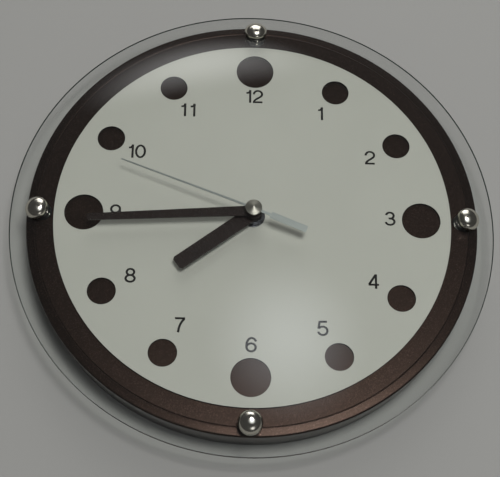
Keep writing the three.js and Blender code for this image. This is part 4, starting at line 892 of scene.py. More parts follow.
def turned(profile, steps):
    """A turned piece: one vertex is extruded along the closed profile, which is then spun about Z."""
    bpy.ops.object.select_all(action="DESELECT")
    bpy.ops.mesh.primitive_plane_add(size=MM, location=(profile[0][0], 0, profile[0][1]))
    piece = added()
    edit_all(piece)
    bpy.ops.mesh.merge(type="CENTER")
    for (r0, z0), (r1, z1) in zip(profile, profile[1:] + profile[:1]):
        bpy.ops.mesh.extrude_region_move(TRANSFORM_OT_translate={"value": (r1 - r0, 0, z1 - z0)})
    bpy.ops.mesh.select_all(action="SELECT")
    bpy.ops.mesh.remove_doubles(threshold=MERGE_DISTANCE)
    bpy.ops.mesh.select_all(action="SELECT")
    bpy.ops.mesh.spin(steps=steps, angle=2 * math.pi, center=(0, 0, 0), axis=(0, 0, 1))
    bpy.ops.mesh.select_all(action="SELECT")
    bpy.ops.mesh.remove_doubles(threshold=MERGE_DISTANCE)
    bpy.ops.mesh.delete_loose(use_verts=True, use_edges=True, use_faces=False)
    bpy.ops.mesh.select_all(action="SELECT")
    bpy.ops.mesh.normals_make_consistent(inside=False)
    close_edit()
    return piece


def boolean(piece, tool, operation):
    """Joins, cuts or meets a piece with a tool, which is used up."""
    pick(piece)
    bpy.ops.object.modifier_add(type="BOOLEAN")
    modifier = piece.modifiers[-1]
    modifier.operation = operation
    modifier.solver = "EXACT"
    modifier.object = tool
    bpy.ops.object.modifier_apply(modifier=modifier.name)
    remove(tool)
    return piece


def joined(*pieces):
    """Makes the pieces one object, the first of them."""
    pick(*pieces)
    bpy.ops.object.join()
    return pieces[0]


def remove(*pieces):
    """Deletes used-up tools and patterns."""
    pick(*pieces)
    bpy.ops.object.delete()


def ring(inner, outer, low, high, steps):
    """A flat ring about Z."""
    return turned([(inner, high), (outer, high), (outer, low), (inner, low)], steps)


def bored(piece, radius, low, high, steps, place=(0, 0)):
    """Drills a piece along Z, right through the faces at both heights."""
    return boolean(piece, rod(radius, low - CUT_MARGIN, high + CUT_MARGIN, steps, place), "DIFFERENCE")


def rounded(piece, width, segments=3, limit=FLAT_ANGLE):
    """Rounds the sharp edges of a piece and shades it smooth between them."""
    pick(piece)
    bpy.ops.object.modifier_add(type="BEVEL")
    modifier = piece.modifiers[-1]
    modifier.width = width
    modifier.segments = segments
    modifier.limit_method = "ANGLE"
    modifier.angle_limit = limit
    modifier.harden_normals = True
    bpy.ops.object.shade_smooth()
    bpy.ops.object.modifier_apply(modifier=modifier.name)
    return piece


def soften(node, width):
    """Breaks the sharp edges of a CAD object by live modifiers, which leave its mesh as it is."""
    pick(node)
    bpy.ops.object.modifier_add(type="WELD")
    node.modifiers[-1].merge_threshold = MERGE_DISTANCE
    bpy.ops.object.modifier_add(type="BEVEL")
    bevel = node.modifiers[-1]
    bevel.width = width
    bevel.segments = 2
    bevel.limit_method = "ANGLE"
    bevel.angle_limit = FLAT_ANGLE


def smooth(piece):
    """Shades a piece smooth between its sharp edges."""
    pick(piece)
    bpy.ops.object.shade_smooth_by_angle(angle=FLAT_ANGLE)
    return piece


def trimmed(piece, height, keep_above):
    """Cuts a piece level at this height and keeps what is above or below."""
    edit_all(piece)
    bpy.ops.mesh.bisect(
        plane_co=(0, 0, height),
        plane_no=(0, 0, 1),
        use_fill=True,
        clear_inner=keep_above,
        clear_outer=not keep_above,
    )
    close_edit()
    return piece


def narrowed(piece, end, share):
    """Makes the end of a blade along Y narrower, to this share; the end is a place on Y."""
    edit_all(piece)
    bpy.ops.mesh.select_all(action="DESELECT")
    close_edit()
    for vertex in piece.data.vertices:
        vertex.select = abs(vertex.co.y - end) < MERGE_DISTANCE
    pick(piece)
    bpy.ops.object.mode_set(mode="EDIT")
    bpy.ops.transform.resize(value=(share, 1, 1), center_override=(0, end, 0))
    close_edit()
    return piece


def bevelled(piece, chosen, width, segments=1):
    """Bevels the edges whose two ends pass a test."""
    edit_all(piece)
    bpy.ops.mesh.select_mode(type="EDGE")
    bpy.ops.mesh.select_all(action="DESELECT")
    close_edit()
    for edge in piece.data.edges:
        a, b = (piece.data.vertices[k].co for k in edge.vertices)
        edge.select = chosen(a, b)
    pick(piece)
    bpy.ops.object.mode_set(mode="EDIT")
    bpy.ops.mesh.bevel(offset=width, segments=segments, affect="EDGES")
    bpy.ops.mesh.select_mode(type="VERT")
    close_edit()
    return piece


def placed(piece, matrix):
    """Moves a piece by a matrix and puts its place into its mesh."""
    piece.matrix_world = matrix @ piece.matrix_world
    pick(piece)
    bpy.ops.object.transform_apply(location=True, rotation=True, scale=True)
    return piece


def copied(piece):
    """A copy with a mesh of its own."""
    pick(piece)
    bpy.ops.object.duplicate(linked=False)
    return bpy.context.object


def dress(piece, name, body, material, slot, *nodes):
    """Names a finished piece, gives it its material and ties it to the frame."""
    piece.name = name
    piece.data.name = name
    piece.data.materials.clear()
    piece.data.materials.append(material)
    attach(piece, body)
    if nodes:
        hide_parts(*nodes)
    return piece


def turn_z(radians):
    """A turn about the clock's axis."""
    return Matrix.Rotation(radians, 4, "Z")


def screw_frame(glass, case, degrees):
    """Where a glass screw stands: on the middle of the glass, square to it."""
    tilt = math.asin(glass.screw_circle / glass_curve(glass))
    height = case.depth + glass.above_panel
    seat = Matrix.Translation((glass.screw_circle, 0, height)) @ Matrix.Rotation(tilt, 4, "Y")
    return turn_z(math.radians(degrees)) @ seat


def glass_curve(glass):
    """Radius of the sphere that the middle of the glass lies on."""
    return (glass.radius ** 2 + glass.rise ** 2) / (2 * glass.rise)


def panel_on_screw(glass):
    """Where the panel's front lies along a screw, measured from the middle of the glass."""
    tilt = math.asin(glass.screw_circle / glass_curve(glass))
    return -glass.above_panel / math.cos(tilt)


def hexagon(flats, low, high, steps):
    """A hexagon bar whose corners are turned off at both ends, as on a nut."""
    corner = flats / math.sqrt(3)
    bar = rod(corner, low, high, 6)
    chamfer = (corner - flats / 2) * NUT_CHAMFER_SHARE
    drop = chamfer * math.tan(NUT_CHAMFER_ANGLE)
    cone = turned(
        [(0, low), (corner - chamfer, low), (corner, low + drop),
         (corner, high - drop), (corner - chamfer, high), (0, high)],
        steps,
    )
    return boolean(bar, cone, "INTERSECT")


class ClockOperator:
    """What the operators share."""

    bl_options = {"REGISTER", "UNDO"}


class CLOCK_OT_case(ClockOperator, bpy.types.Operator):
    """Turns the pan-shaped case and sets the screw and hanger bosses behind its panel"""

    bl_idname = "clock.case"
    bl_label = "Case"

    def execute(self, context):
        s = context.scene.clock_case
        glass = context.scene.clock_glass
        band = s.depth - s.band_step
        edge = band - s.band_drop
        profile = [
            (s.hole_radius, s.depth),
            (s.groove_radius - s.groove_width / 2, s.depth),
            (s.groove_radius - s.groove_floor / 2, s.depth - s.groove_depth),
            (s.groove_radius + s.groove_floor / 2, s.depth - s.groove_depth),
            (s.groove_radius + s.groove_width / 2, band),
        ]
        for step in range(s.rounding_steps + 1):
            turn = math.pi / 2 * step / s.rounding_steps
            profile.append((
                s.radius - s.rounding * (1 - math.sin(turn)),
                edge - s.rounding * (1 - math.cos(turn)),
            ))
        profile += [
            (s.rear_radius, 0),
            (s.rear_radius - s.wall, 0),
            (s.radius - s.wall, s.depth - s.panel),
            (s.hole_radius, s.depth - s.panel),
        ]
        case = turned(profile, s.steps)
        rounded(case, s.edge_break, segments=2)
        pieces = [case]
        front = panel_on_screw(glass)
        for _, degrees in SCREWS:
            boss = rod(
                s.boss_radius, front - s.boss_length, front + s.panel, s.boss_steps, top_radius=s.boss_root,
            )
            rounded(boss, s.edge_break, segments=2)
            placed(boss, screw_frame(glass, s, degrees))
            pieces.append(trimmed(boss, s.depth - s.panel / 2, keep_above=False))
        for side in (-1, 1):
            boss = rod(
                s.hanger_boss_radius, s.hanger_boss_end, s.depth - s.hanger_boss_cover, s.boss_steps,
                place=(side * s.hanger_spacing / 2, s.hanger_height), top_radius=s.hanger_boss_root,
            )
            pieces.append(rounded(boss, s.edge_break, segments=2))
        joined(*pieces)
        material = metallic_lacquer(context.scene.clock_colours)
        dress(case, "case_shell", "clock", material, "case_paint", "case")
        return {"FINISHED"}


class CLOCK_OT_dial(ClockOperator, bpy.types.Operator):
    """Cuts the dial plate with its round hour holes and prints the numerals"""

    bl_idname = "clock.dial"
    bl_label = "Dial and numerals"

    def stroke(self, parts, shift):
        """Points of one stroke, in metres."""
        points = []
        for part in parts:
            if len(part) == 2:
                points.append(part)
                continue
            x, y, half_width, half_height, begin, end = part
            steps = max(2, round(abs(end - begin) / ARC_STEP))
            for step in range(steps + 1):
                turn = math.radians(begin + (end - begin) * step / steps)
                points.append((x + half_width * math.cos(turn), y + half_height * math.sin(turn)))
        return [((x + shift) * MM, y * MM, 0) for x, y in points]

    def numeral(self, s, digits):
        """One number drawn as bevelled curves along its strokes and pressed flat into a film of ink."""
        bpy.ops.object.select_all(action="DESELECT")
        bpy.ops.object.add(type="CURVE")
        numeral = bpy.context.object
        numeral.data.dimensions = "3D"
        numeral.data.fill_mode = "FULL"
        numeral.data.bevel_depth = s.stroke / 2
        numeral.data.bevel_resolution = 2
        numeral.data.use_fill_caps = True
        for index, digit in enumerate(digits):
            for parts in DIGITS[digit]:
                points = self.stroke(parts, index * DIGIT_ADVANCE)
                line = numeral.data.splines.new("POLY")
                line.use_cyclic_u = (Vector(points[0]) - Vector(points[-1])).length < MERGE_DISTANCE
                if line.use_cyclic_u:
                    points = points[:-1]
                line.points.add(len(points) - 1)
                for corner, place in zip(line.points, points):
                    corner.co = (*place, 1)
        bpy.ops.object.convert(target="MESH")
        numeral = bpy.context.object
        edit_all(numeral)
        bpy.ops.mesh.remove_doubles(threshold=MERGE_DISTANCE)
        close_edit()
        return placed(numeral, Matrix.Diagonal((s.digit_width, 1, s.ink_thickness / s.stroke, 1)))

    def execute(self, context):
        s = context.scene.clock_dial
        colours = context.scene.clock_colours
        front = s.rear + s.thickness
        plate = ring(s.hole_radius, s.radius, s.rear, front, s.steps)
        cutters = []
        for hour in range(HOURS):
            turn = 2 * math.pi * hour / HOURS
            radius = s.small_dot if hour % LARGE_DOT_EVERY else s.large_dot
            place = (s.dot_circle * math.sin(turn), s.dot_circle * math.cos(turn))
            cutters.append(rod(radius, s.rear - CUT_MARGIN, front + CUT_MARGIN, s.dot_steps, place))
        boolean(plate, joined(*cutters), "DIFFERENCE")
        rounded(plate, s.edge_break, segments=2)
        dress(plate, "dial", "clock", satin_dial_coat(colours), "dial_white", "dial_plate")
        # The cut edges get the near-black painted shadow, which draws the shade line round each hole and the
        # rim
        plate.data.materials.append(dial_board(colours))
        for face in plate.data.polygons:
            face.material_index = int(abs(face.normal.z) < CUT_EDGE_NORMAL)

        numerals = []
        for hour in range(1, HOURS + 1):
            turn = 2 * math.pi * hour / HOURS
            x = s.numeral_circle * math.sin(turn)
            y = s.numeral_circle * math.cos(turn) + s.numeral_lift
            numeral = self.numeral(s, str(hour))
            middle = (Vector(numeral.bound_box[0]) + Vector(numeral.bound_box[6])) / 2
            place = Vector((x, y, front + s.ink_thickness / 2)) - middle
            numerals.append(placed(numeral, Matrix.Translation(place)))
        dress(joined(*numerals), "numerals", "clock", screen_ink(colours), "hand_brown")
        return {"FINISHED"}


class CLOCK_OT_glass(ClockOperator, bpy.types.Operator):
    """Turns the domed glass and drills it for its screws"""

    bl_idname = "clock.glass"
    bl_label = "Glass"

    def execute(self, context):
        s = context.scene.clock_glass
        case = context.scene.clock_case
        curve = glass_curve(s)
        tilt = math.asin(s.screw_circle / curve)
        middle = case.depth + s.above_panel - curve * math.cos(tilt)

        def arc(radius):
            """Points of one side of the glass, from the middle to the edge."""
            end = math.asin(s.radius / radius)
            turns = [end * k / s.rings for k in range(s.rings + 1)]
            return [(radius * math.sin(turn), middle + radius * math.cos(turn)) for turn in turns]

        outside = arc(curve + s.thickness / 2)
        inner = curve - s.thickness / 2
        inside = arc(inner)
        edge = s.radius - s.chamfer
        ground = [
            (s.radius, inside[-1][1] + s.chamfer),
            (edge, middle + math.sqrt(inner ** 2 - edge ** 2)),
        ]
        glass = turned(outside + ground + inside[-2::-1], s.steps)
        rounded(glass, s.edge_break, segments=4)
        holes = [
            placed(rod(s.hole_radius, -s.thickness, s.thickness, s.hole_steps), screw_frame(s, case, degrees))
            for _, degrees in SCREWS
        ]
        boolean(glass, joined(*holes), "DIFFERENCE")
        smooth(glass)
        colours = context.scene.clock_colours
        dress(glass, "glass_dome", "clock", soda_lime_glass(colours), "clear_glass", "glass_lens")
        # The ground rim gets the dark green painted shade
        glass.data.materials.append(ground_glass_edge(colours))
        for face in glass.data.polygons:
            at_rim = Vector(face.center[:2]).length > edge - s.edge_break
            face.material_index = int(at_rim and face.normal.z < GROUND_NORMAL)
        return {"FINISHED"}


class CLOCK_OT_screws(ClockOperator, bpy.types.Operator):
    """Makes a dome-head screw, its spacer and its nut, and sets four of each round the glass"""

    bl_idname = "clock.screws"
    bl_label = "Glass screws"

    def execute(self, context):
        s = context.scene.clock_screws
        glass = context.scene.clock_glass
        case = context.scene.clock_case
        colours = context.scene.clock_colours
        panel = panel_on_screw(glass)
        nut_top = panel - case.boss_length - s.nut_gap
        nut_low = nut_top - s.nut_height
        stud_end = nut_low - s.stud_end

        profile = []
        for step in range(s.dome_rings + 1):
            turn = math.pi / 2 * step / s.dome_rings
            profile.append((
                s.dome_radius * math.sin(turn),
                s.dome_base + s.dome_lip + (s.dome_height - s.dome_lip) * math.cos(turn),
            ))
        profile += [
            (s.dome_radius, s.dome_base),
            (s.stud_radius, s.dome_base),
            (s.stud_radius, stud_end + s.stud_chamfer),
            (s.stud_radius - s.stud_chamfer, stud_end),
            (0, stud_end),
        ]
        screw = rounded(turned(profile, s.steps), s.edge_break)

        nut = hexagon(s.nut_flats, nut_low, nut_top, s.steps)
        smooth(bored(nut, s.stud_radius, nut_low, nut_top, s.steps))

        spacer = rod(s.spacer_radius, panel - s.spacer_radius, -s.spacer_seat, s.steps)
        placed(spacer, screw_frame(glass, case, 0))
        trimmed(spacer, case.depth + s.spacer_gap, keep_above=True)
        rounded(spacer, s.edge_break)

        nickel = turned_nickel(colours)
        plated = zinc_plate(colours)
        rubber = black_rubber(colours)
        for name, degrees in SCREWS:
            seat = screw_frame(glass, case, degrees)
            head = placed(copied(screw), seat)
            dress(head, f"dome_screw_{name}", "clock", nickel, "chrome", f"screw_dome_{name}")
            back = placed(copied(nut), seat)
            dress(back, f"stud_nut_{name}", "clock", plated, "steel", f"screw_nut_{name}")
            foot = placed(copied(spacer), turn_z(math.radians(degrees)))
            dress(foot, f"spacer_{name}", "clock", rubber, "black_rubber", f"glass_spacer_{name}")
        remove(screw, nut, spacer)
        return {"FINISHED"}


class CLOCK_OT_hands(ClockOperator, bpy.types.Operator):
    """Cuts the hour and minute hands, with hub and collar, and turns them to the time"""

    bl_idname = "clock.hands"
    bl_label = "Hour and minute hands"

    def hand(self, s, reach, root, tip, rear, bore):
        """One flat hand that tapers to its cut corners, pointing to 12."""
        front = rear + s.thickness
        blade = block((-root / 2, 0, rear), (root / 2, reach, front))
        narrowed(blade, reach, tip / root)

        def at_tip(a, b):
            """Upright edges of the tip."""
            return min(a.y, b.y) > reach / 2 and abs(a.z - b.z) > s.thickness / 2

        bevelled(blade, at_tip, s.tip_chamfer)
        boolean(blade, rod(s.hub_radius, rear, front, s.steps), "UNION")
        collar_low = rear - s.collar_height
        boolean(blade, rod(bore + s.collar_wall, collar_low, front - s.thickness / 2, s.steps), "UNION")
        bored(blade, bore, collar_low, front, s.steps)
        return rounded(blade, s.edge_break, segments=2)

    def execute(self, context):
        s = context.scene.clock_hands
        lacquer = hand_lacquer(context.scene.clock_colours)
        hour = self.hand(s, s.hour_length, s.hour_root, s.hour_tip, s.hour_rear, s.hour_bore)
        placed(hour, turn_z(-s.hour_angle))
        dress(hour, "hour_blade", "hours", lacquer, "hand_brown", "hour_hand")
        minute = self.hand(s, s.minute_length, s.minute_root, s.minute_tip, s.minute_rear, s.minute_bore)
        placed(minute, turn_z(-s.minute_angle))
        dress(minute, "minute_blade", "minutes", lacquer, "hand_brown", "minute_hand")
        return {"FINISHED"}


class CLOCK_OT_second_hand(ClockOperator, bpy.types.Operator):
    """Cuts the second hand with its tail and turns the cap that covers the middle"""

    bl_idname = "clock.second_hand"
    bl_label = "Second hand and cap"

    def execute(self, context):
        s = context.scene.clock_hands
        colours = context.scene.clock_colours
        rear = s.second_rear
        front = rear + s.second_thickness
        hub = Matrix.Translation((0, 0, rear))
        hand = block((-s.second_root / 2, 0, rear), (s.second_root / 2, s.second_length, front))
        narrowed(hand, s.second_length, s.second_tip / s.second_root)
        fall = Matrix.Rotation(-math.atan(s.second_drop / s.second_length), 4, "X")
        placed(hand, hub @ fall @ hub.inverted())
        neck = block((-s.neck_width / 2, -s.tail_start - CUT_MARGIN, rear), (s.neck_width / 2, 0, front))
        tail = block((-s.tail_width / 2, -s.tail_length, rear), (s.tail_width / 2, -s.tail_start, front))
        boolean(tail, neck, "UNION")
        fall = Matrix.Rotation(math.atan(s.tail_drop / s.tail_length), 4, "X")
        placed(tail, hub @ fall @ hub.inverted())
        boolean(hand, tail, "UNION")
        boolean(hand, rod(s.second_hub, rear, front, s.steps), "UNION")
        rounded(hand, s.edge_break, segments=2)
        placed(hand, turn_z(-s.second_angle))
        steel = brushed_steel(colours, s.second_angle)
        dress(hand, "second_pointer", "seconds", steel, "second_hand_metal", "second_hand")

        brim = s.cap_rear + s.cap_brim
        top = brim + s.cap_cone
        profile = [
            (0, top), (s.cap_tip, top), (s.cap_radius, brim), (s.cap_radius, s.cap_rear), (0, s.cap_rear),
        ]
        cap = rounded(turned(profile, s.steps), s.edge_break, segments=2, limit=CAP_ANGLE)
        dress(cap, "second_cap", "seconds", turned_aluminium(colours), "cap_metal", "second_hand_cap")
        return {"FINISHED"}


class CLOCK_OT_clamp(ClockOperator, bpy.types.Operator):
    """Turns the washer and cuts the nut that hold the movement to the dial"""

    bl_idname = "clock.clamp"
    bl_label = "Washer and nut"

    def execute(self, context):
        s = context.scene.clock_clamp
        chrome = chrome_plate(context.scene.clock_colours)
        front = s.washer_rear + s.washer_thickness
        washer = ring(s.bushing_radius, s.washer_radius, s.washer_rear, front, s.steps)
        rounded(washer, s.edge_break)
        dress(washer, "clamp_washer", "clock", chrome, "chrome", "hand_washer")
        top = s.nut_rear + s.nut_thickness
        nut = hexagon(s.nut_flats, s.nut_rear, top, s.steps)
        smooth(bored(nut, s.bushing_radius, s.nut_rear, top, s.steps))
        dress(nut, "clamp_nut", "clock", chrome, "chrome", "hand_nut")
        return {"FINISHED"}


class CLOCK_OT_movement(ClockOperator, bpy.types.Operator):
    """Moulds the movement's housing with its threaded bushing, its cover and its setting knob"""

    bl_idname = "clock.movement"
    bl_label = "Movement housing and knob"

    def box(self, s, low_y, low_z, high_z):
        """A slab of the housing's outline with round upright corners, from a place on Y upward."""
        half = s.size / 2
        slab = block((-half, low_y, low_z), (half, half, high_z))
        return bevelled(slab, lambda a, b: abs(a.z - b.z) > MERGE_DISTANCE, s.corner, segments=6)

    def thread(self, s):
        """Threaded tube in front of the housing."""
        core = s.bushing_radius - s.thread_depth
        turns = int((s.bushing_top - s.front) / s.pitch)
        crests = []
        for turn in range(turns):
            low = s.bushing_top - s.pitch * (turn + 1)
            crests += [(core, low + s.pitch), (s.bushing_radius, low + s.pitch / 2)]
        profile = [(s.bushing_bore, s.bushing_top)] + crests
        profile += [(core, s.inside), (s.bushing_bore, s.inside)]
        return smooth(turned(profile, s.steps))

    def housing(self, s):
        """Tray with snap lugs, one room for the battery and one for the wheels, and the bushing."""
        half = s.size / 2
        inner = half - s.wall
        bay_high = s.bay - inner
        housing = self.box(s, -half, s.rear, s.front)
        lug_low = s.rear + s.wall
        for side in (-1, 1):
            for y in (-half / 2, half / 2):
                lug = block(
                    (side * half - s.lug_reach, y - s.lug_width / 2, lug_low),
                    (side * half + s.lug_reach, y + s.lug_width / 2, lug_low + s.lug_height),
                )
                boolean(housing, lug, "UNION")
        rear = s.rear - CUT_MARGIN
        boolean(housing, block((-inner, -inner, rear), (inner, bay_high, s.inside)), "DIFFERENCE")
        wheels = block((-inner, bay_high + s.partition, rear), (inner, inner, s.inside))
        boolean(housing, wheels, "DIFFERENCE")
        bored(housing, s.bushing_bore, s.inside, s.front, s.steps)
        rounded(housing, s.edge_break, segments=2)
        return joined(housing, self.thread(s))

    def cover(self, s):
        """Lid behind the wheels, with a sunk ring round the knob and a sunk panel."""
        inner = s.size / 2 - s.wall
        bay_high = s.bay - inner
        outside = s.cover_rear - CUT_MARGIN
        place = (-s.knob_place, s.knob_place)
        cover = self.box(s, bay_high, s.cover_rear, s.cover_front)
        dish = ring(s.dish_start, s.dish_radius, outside, s.cover_rear + s.dish_depth, s.steps)
        boolean(cover, placed(dish, Matrix.Translation((*place, 0))), "DIFFERENCE")
        panel = block(
            (s.corner - inner, bay_high + s.corner, outside),
            (inner - s.corner, -s.corner, s.cover_rear + s.panel_depth),
        )
        boolean(cover, panel, "DIFFERENCE")
        bored(cover, s.arbor_hole, s.cover_rear, s.cover_front, s.steps, place)
        return rounded(cover, s.cover_break, segments=2)

    def knob(self, s):
        """Knob with finger grooves, a hollow face and a socket for the arbor."""
        outside = s.knob_rear - CUT_MARGIN
        inside = s.knob_front + CUT_MARGIN
        knob = rod(s.knob_radius, s.knob_rear, s.knob_front, s.steps)
        cutters = []
        for groove in range(s.grooves):
            turn = 2 * math.pi * groove / s.grooves
            at = (s.knob_radius * math.cos(turn), s.knob_radius * math.sin(turn))
            cutters.append(rod(s.groove_radius, outside, inside, s.groove_steps, at))
        boolean(knob, joined(*cutters), "DIFFERENCE")
        floor = s.knob_rear + s.dish_depth
        hollow = rod(s.hollow_radius, outside, floor, s.steps, top_radius=s.hollow_floor)
        boolean(knob, hollow, "DIFFERENCE")
        socket = rod(s.socket_radius, s.knob_rear + s.socket_floor, inside, s.steps)
        boolean(knob, socket, "DIFFERENCE")
        rounded(knob, s.knob_break, segments=2)
        return placed(knob, Matrix.Translation((-s.knob_place, s.knob_place, 0)))

    def execute(self, context):
        s = context.scene.clock_movement
        plastic = housing_plastic(context.scene.clock_colours)
        housing = self.housing(s)
        dress(housing, "movement_housing", "clock", plastic, "housing_plastic", "movement_case")
        cover = self.cover(s)
        dress(cover, "movement_back", "clock", plastic, "housing_plastic", "movement_cover")
        knob = self.knob(s)
        dress(knob, "time_knob", "setting", plastic, "housing_plastic", "setting_knob")
        return {"FINISHED"}


class CLOCK_OT_battery(ClockOperator, bpy.types.Operator):
    """Turns the cell in the battery bay"""

    bl_idname = "clock.battery"
    bl_label = "Battery"

    def execute(self, context):
        s = context.scene.clock_battery
        end = s.half + s.nub_length
        shoulder = s.half - s.sink
        profile = [
            (0, end),
            (s.nub_radius, end),
            (s.nub_radius, shoulder),
            (s.radius - s.front_foot, shoulder),
            (s.radius - s.front_rim, s.half),
            (s.radius, s.half),
            (s.radius, -s.half),
            (s.radius - s.back_rim, -s.half),
            (s.radius - s.back_foot, -shoulder),
            (0, -shoulder),
        ]
        cell = rounded(turned(profile, s.steps), s.edge_break)
        lie = Matrix.Translation((s.shift, -s.below, s.height)) @ Matrix.Rotation(math.pi / 2, 4, "Y")
        placed(cell, lie)
        film = battery_film(context.scene.clock_colours, s.shift - s.half, s.shift + s.half)
        dress(cell, "cell_can", "cell", film, "battery_jacket", "battery")
        return {"FINISHED"}


class CLOCK_OT_hanger(ClockOperator, bpy.types.Operator):
    """Presses the hanger plate with its keyhole and turns its two screws"""

    bl_idname = "clock.hanger"
    bl_label = "Hanger"

    def plate(self, s):
        """Sheet bent along its section, with round corners and its holes cut."""
        middle = s.from_wall + s.thickness / 2
        ear = middle + s.raise_height
        section = [
            (-s.half_width, ear), (-s.raised - s.raise_height, ear), (-s.raised, middle),
            (s.raised, middle), (s.raised + s.raise_height, ear), (s.half_width, ear),
        ]
        begin = (section[0][0], s.above, section[0][1])
        bpy.ops.object.select_all(action="DESELECT")
        bpy.ops.mesh.primitive_plane_add(size=s.half_height * 2, location=begin)
        sheet = added()
        edit_all(sheet)
        bpy.ops.transform.resize(value=(0, 1, 1), center_override=begin)
        bpy.ops.mesh.remove_doubles(threshold=MERGE_DISTANCE)
        for (x0, z0), (x1, z1) in zip(section, section[1:]):
            bpy.ops.mesh.extrude_region_move(TRANSFORM_OT_translate={"value": (x1 - x0, 0, z1 - z0)})
        bpy.ops.mesh.select_all(action="SELECT")
        bpy.ops.mesh.normals_make_consistent(inside=False)
        close_edit()
        pick(sheet)
        bpy.ops.object.modifier_add(type="SOLIDIFY")
        thicken = sheet.modifiers[-1]
        thicken.thickness = s.thickness
        thicken.offset = 0
        thicken.use_even_offset = True
        bpy.ops.object.modifier_apply(modifier=thicken.name)

        def at_corner(a, b):
            """Upright edges of the four corners."""
            outside = min(abs(a.x), abs(b.x)) > s.half_width - MERGE_DISTANCE
            return outside and abs(a.z - b.z) > s.thickness / 2

        bevelled(sheet, at_corner, s.corner, segments=5)
        low = s.above - s.keyhole_length / 2
        high = s.above + s.keyhole_length / 2
        top = ear + CUT_MARGIN
        cutters = [
            rod(s.keyhole_radius, -CUT_MARGIN, top, s.steps, (0, low)),
            block((-s.slot_radius, low, -CUT_MARGIN), (s.slot_radius, high, top)),
            rod(s.slot_radius, -CUT_MARGIN, top, s.steps, (0, high)),
            rod(s.hole_radius, -CUT_MARGIN, top, s.steps, (-s.screw_place, s.above)),
            rod(s.hole_radius, -CUT_MARGIN, top, s.steps, (s.screw_place, s.above)),
        ]
        for cutter in cutters:
            boolean(sheet, cutter, "DIFFERENCE")
        return rounded(sheet, s.edge_break, segments=2)

    def screw(self, s):
        """Pan-head screw with a cross recess, head to the rear."""
        profile = [
            (0, s.head_rear),
            (s.head_flat, s.head_rear),
            (s.head_round, s.head_rear + s.edge_break),
            (s.head_radius, s.head_front - s.head_rim),
            (s.head_radius, s.head_front),
            (s.screw_radius, s.head_front),
            (s.screw_radius, s.screw_end - s.screw_radius),
            (0, s.screw_end),
        ]
        screw = turned(profile, s.steps)
        low = s.head_rear - CUT_MARGIN
        high = s.head_rear + s.cross_depth
        reach = s.cross
        half = s.cross_width / 2
        boolean(screw, block((-reach, -half, low), (reach, half, high)), "DIFFERENCE")
        boolean(screw, block((-half, -reach, low), (half, reach, high)), "DIFFERENCE")
        return smooth(screw)

    def execute(self, context):
        s = context.scene.clock_hanger
        zinc = zinc_plate(context.scene.clock_colours)
        dress(self.plate(s), "wall_hanger", "clock", zinc, "steel", "hanger_plate")
        screw = self.screw(s)
        for name, side in (("left", -1), ("right", 1)):
            copy = placed(copied(screw), Matrix.Translation((side * s.screw_place, s.above, 0)))
            dress(copy, f"hanger_pan_screw_{name}", "clock", zinc, "steel", f"hanger_screw_{name}")
        remove(screw)
        return {"FINISHED"}


class CLOCK_OT_inside(ClockOperator, bpy.types.Operator):
    """Finishes the wheels, the motor and the circuit inside the movement"""

    bl_idname = "clock.inside"
    bl_label = "Inside of the movement"

    def execute(self, context):
        colours = context.scene.clock_colours
        contacts = ("contact_positive", "contact_negative")
        wheels = ("second_wheel", "fifth_wheel", "third_wheel", "minute_wheel", "hour_wheel", "setting_arbor")
        finishes = {
            gear_acetal: wheels,
            machined_brass: ("center_wheel", "cannon_pinion"),
            bright_steel: (*contacts, "quartz_crystal"),
            soft_iron: ("stator",),
            bonded_magnet: ("rotor",),
            copper_wire: ("coil",),
            solder_mask: ("circuit_board",),
            black_epoxy: ("chip",),
            black_rubber: ("movement_gasket",),
        }
        for finish, nodes in finishes.items():
            material = finish(colours)
            for node in nodes:
                data = bpy.data.objects[node].data
                data.materials.clear()
                data.materials.append(material)
        for node in contacts:
            soften(bpy.data.objects[node], CONTACT_EDGE)
        return {"FINISHED"}


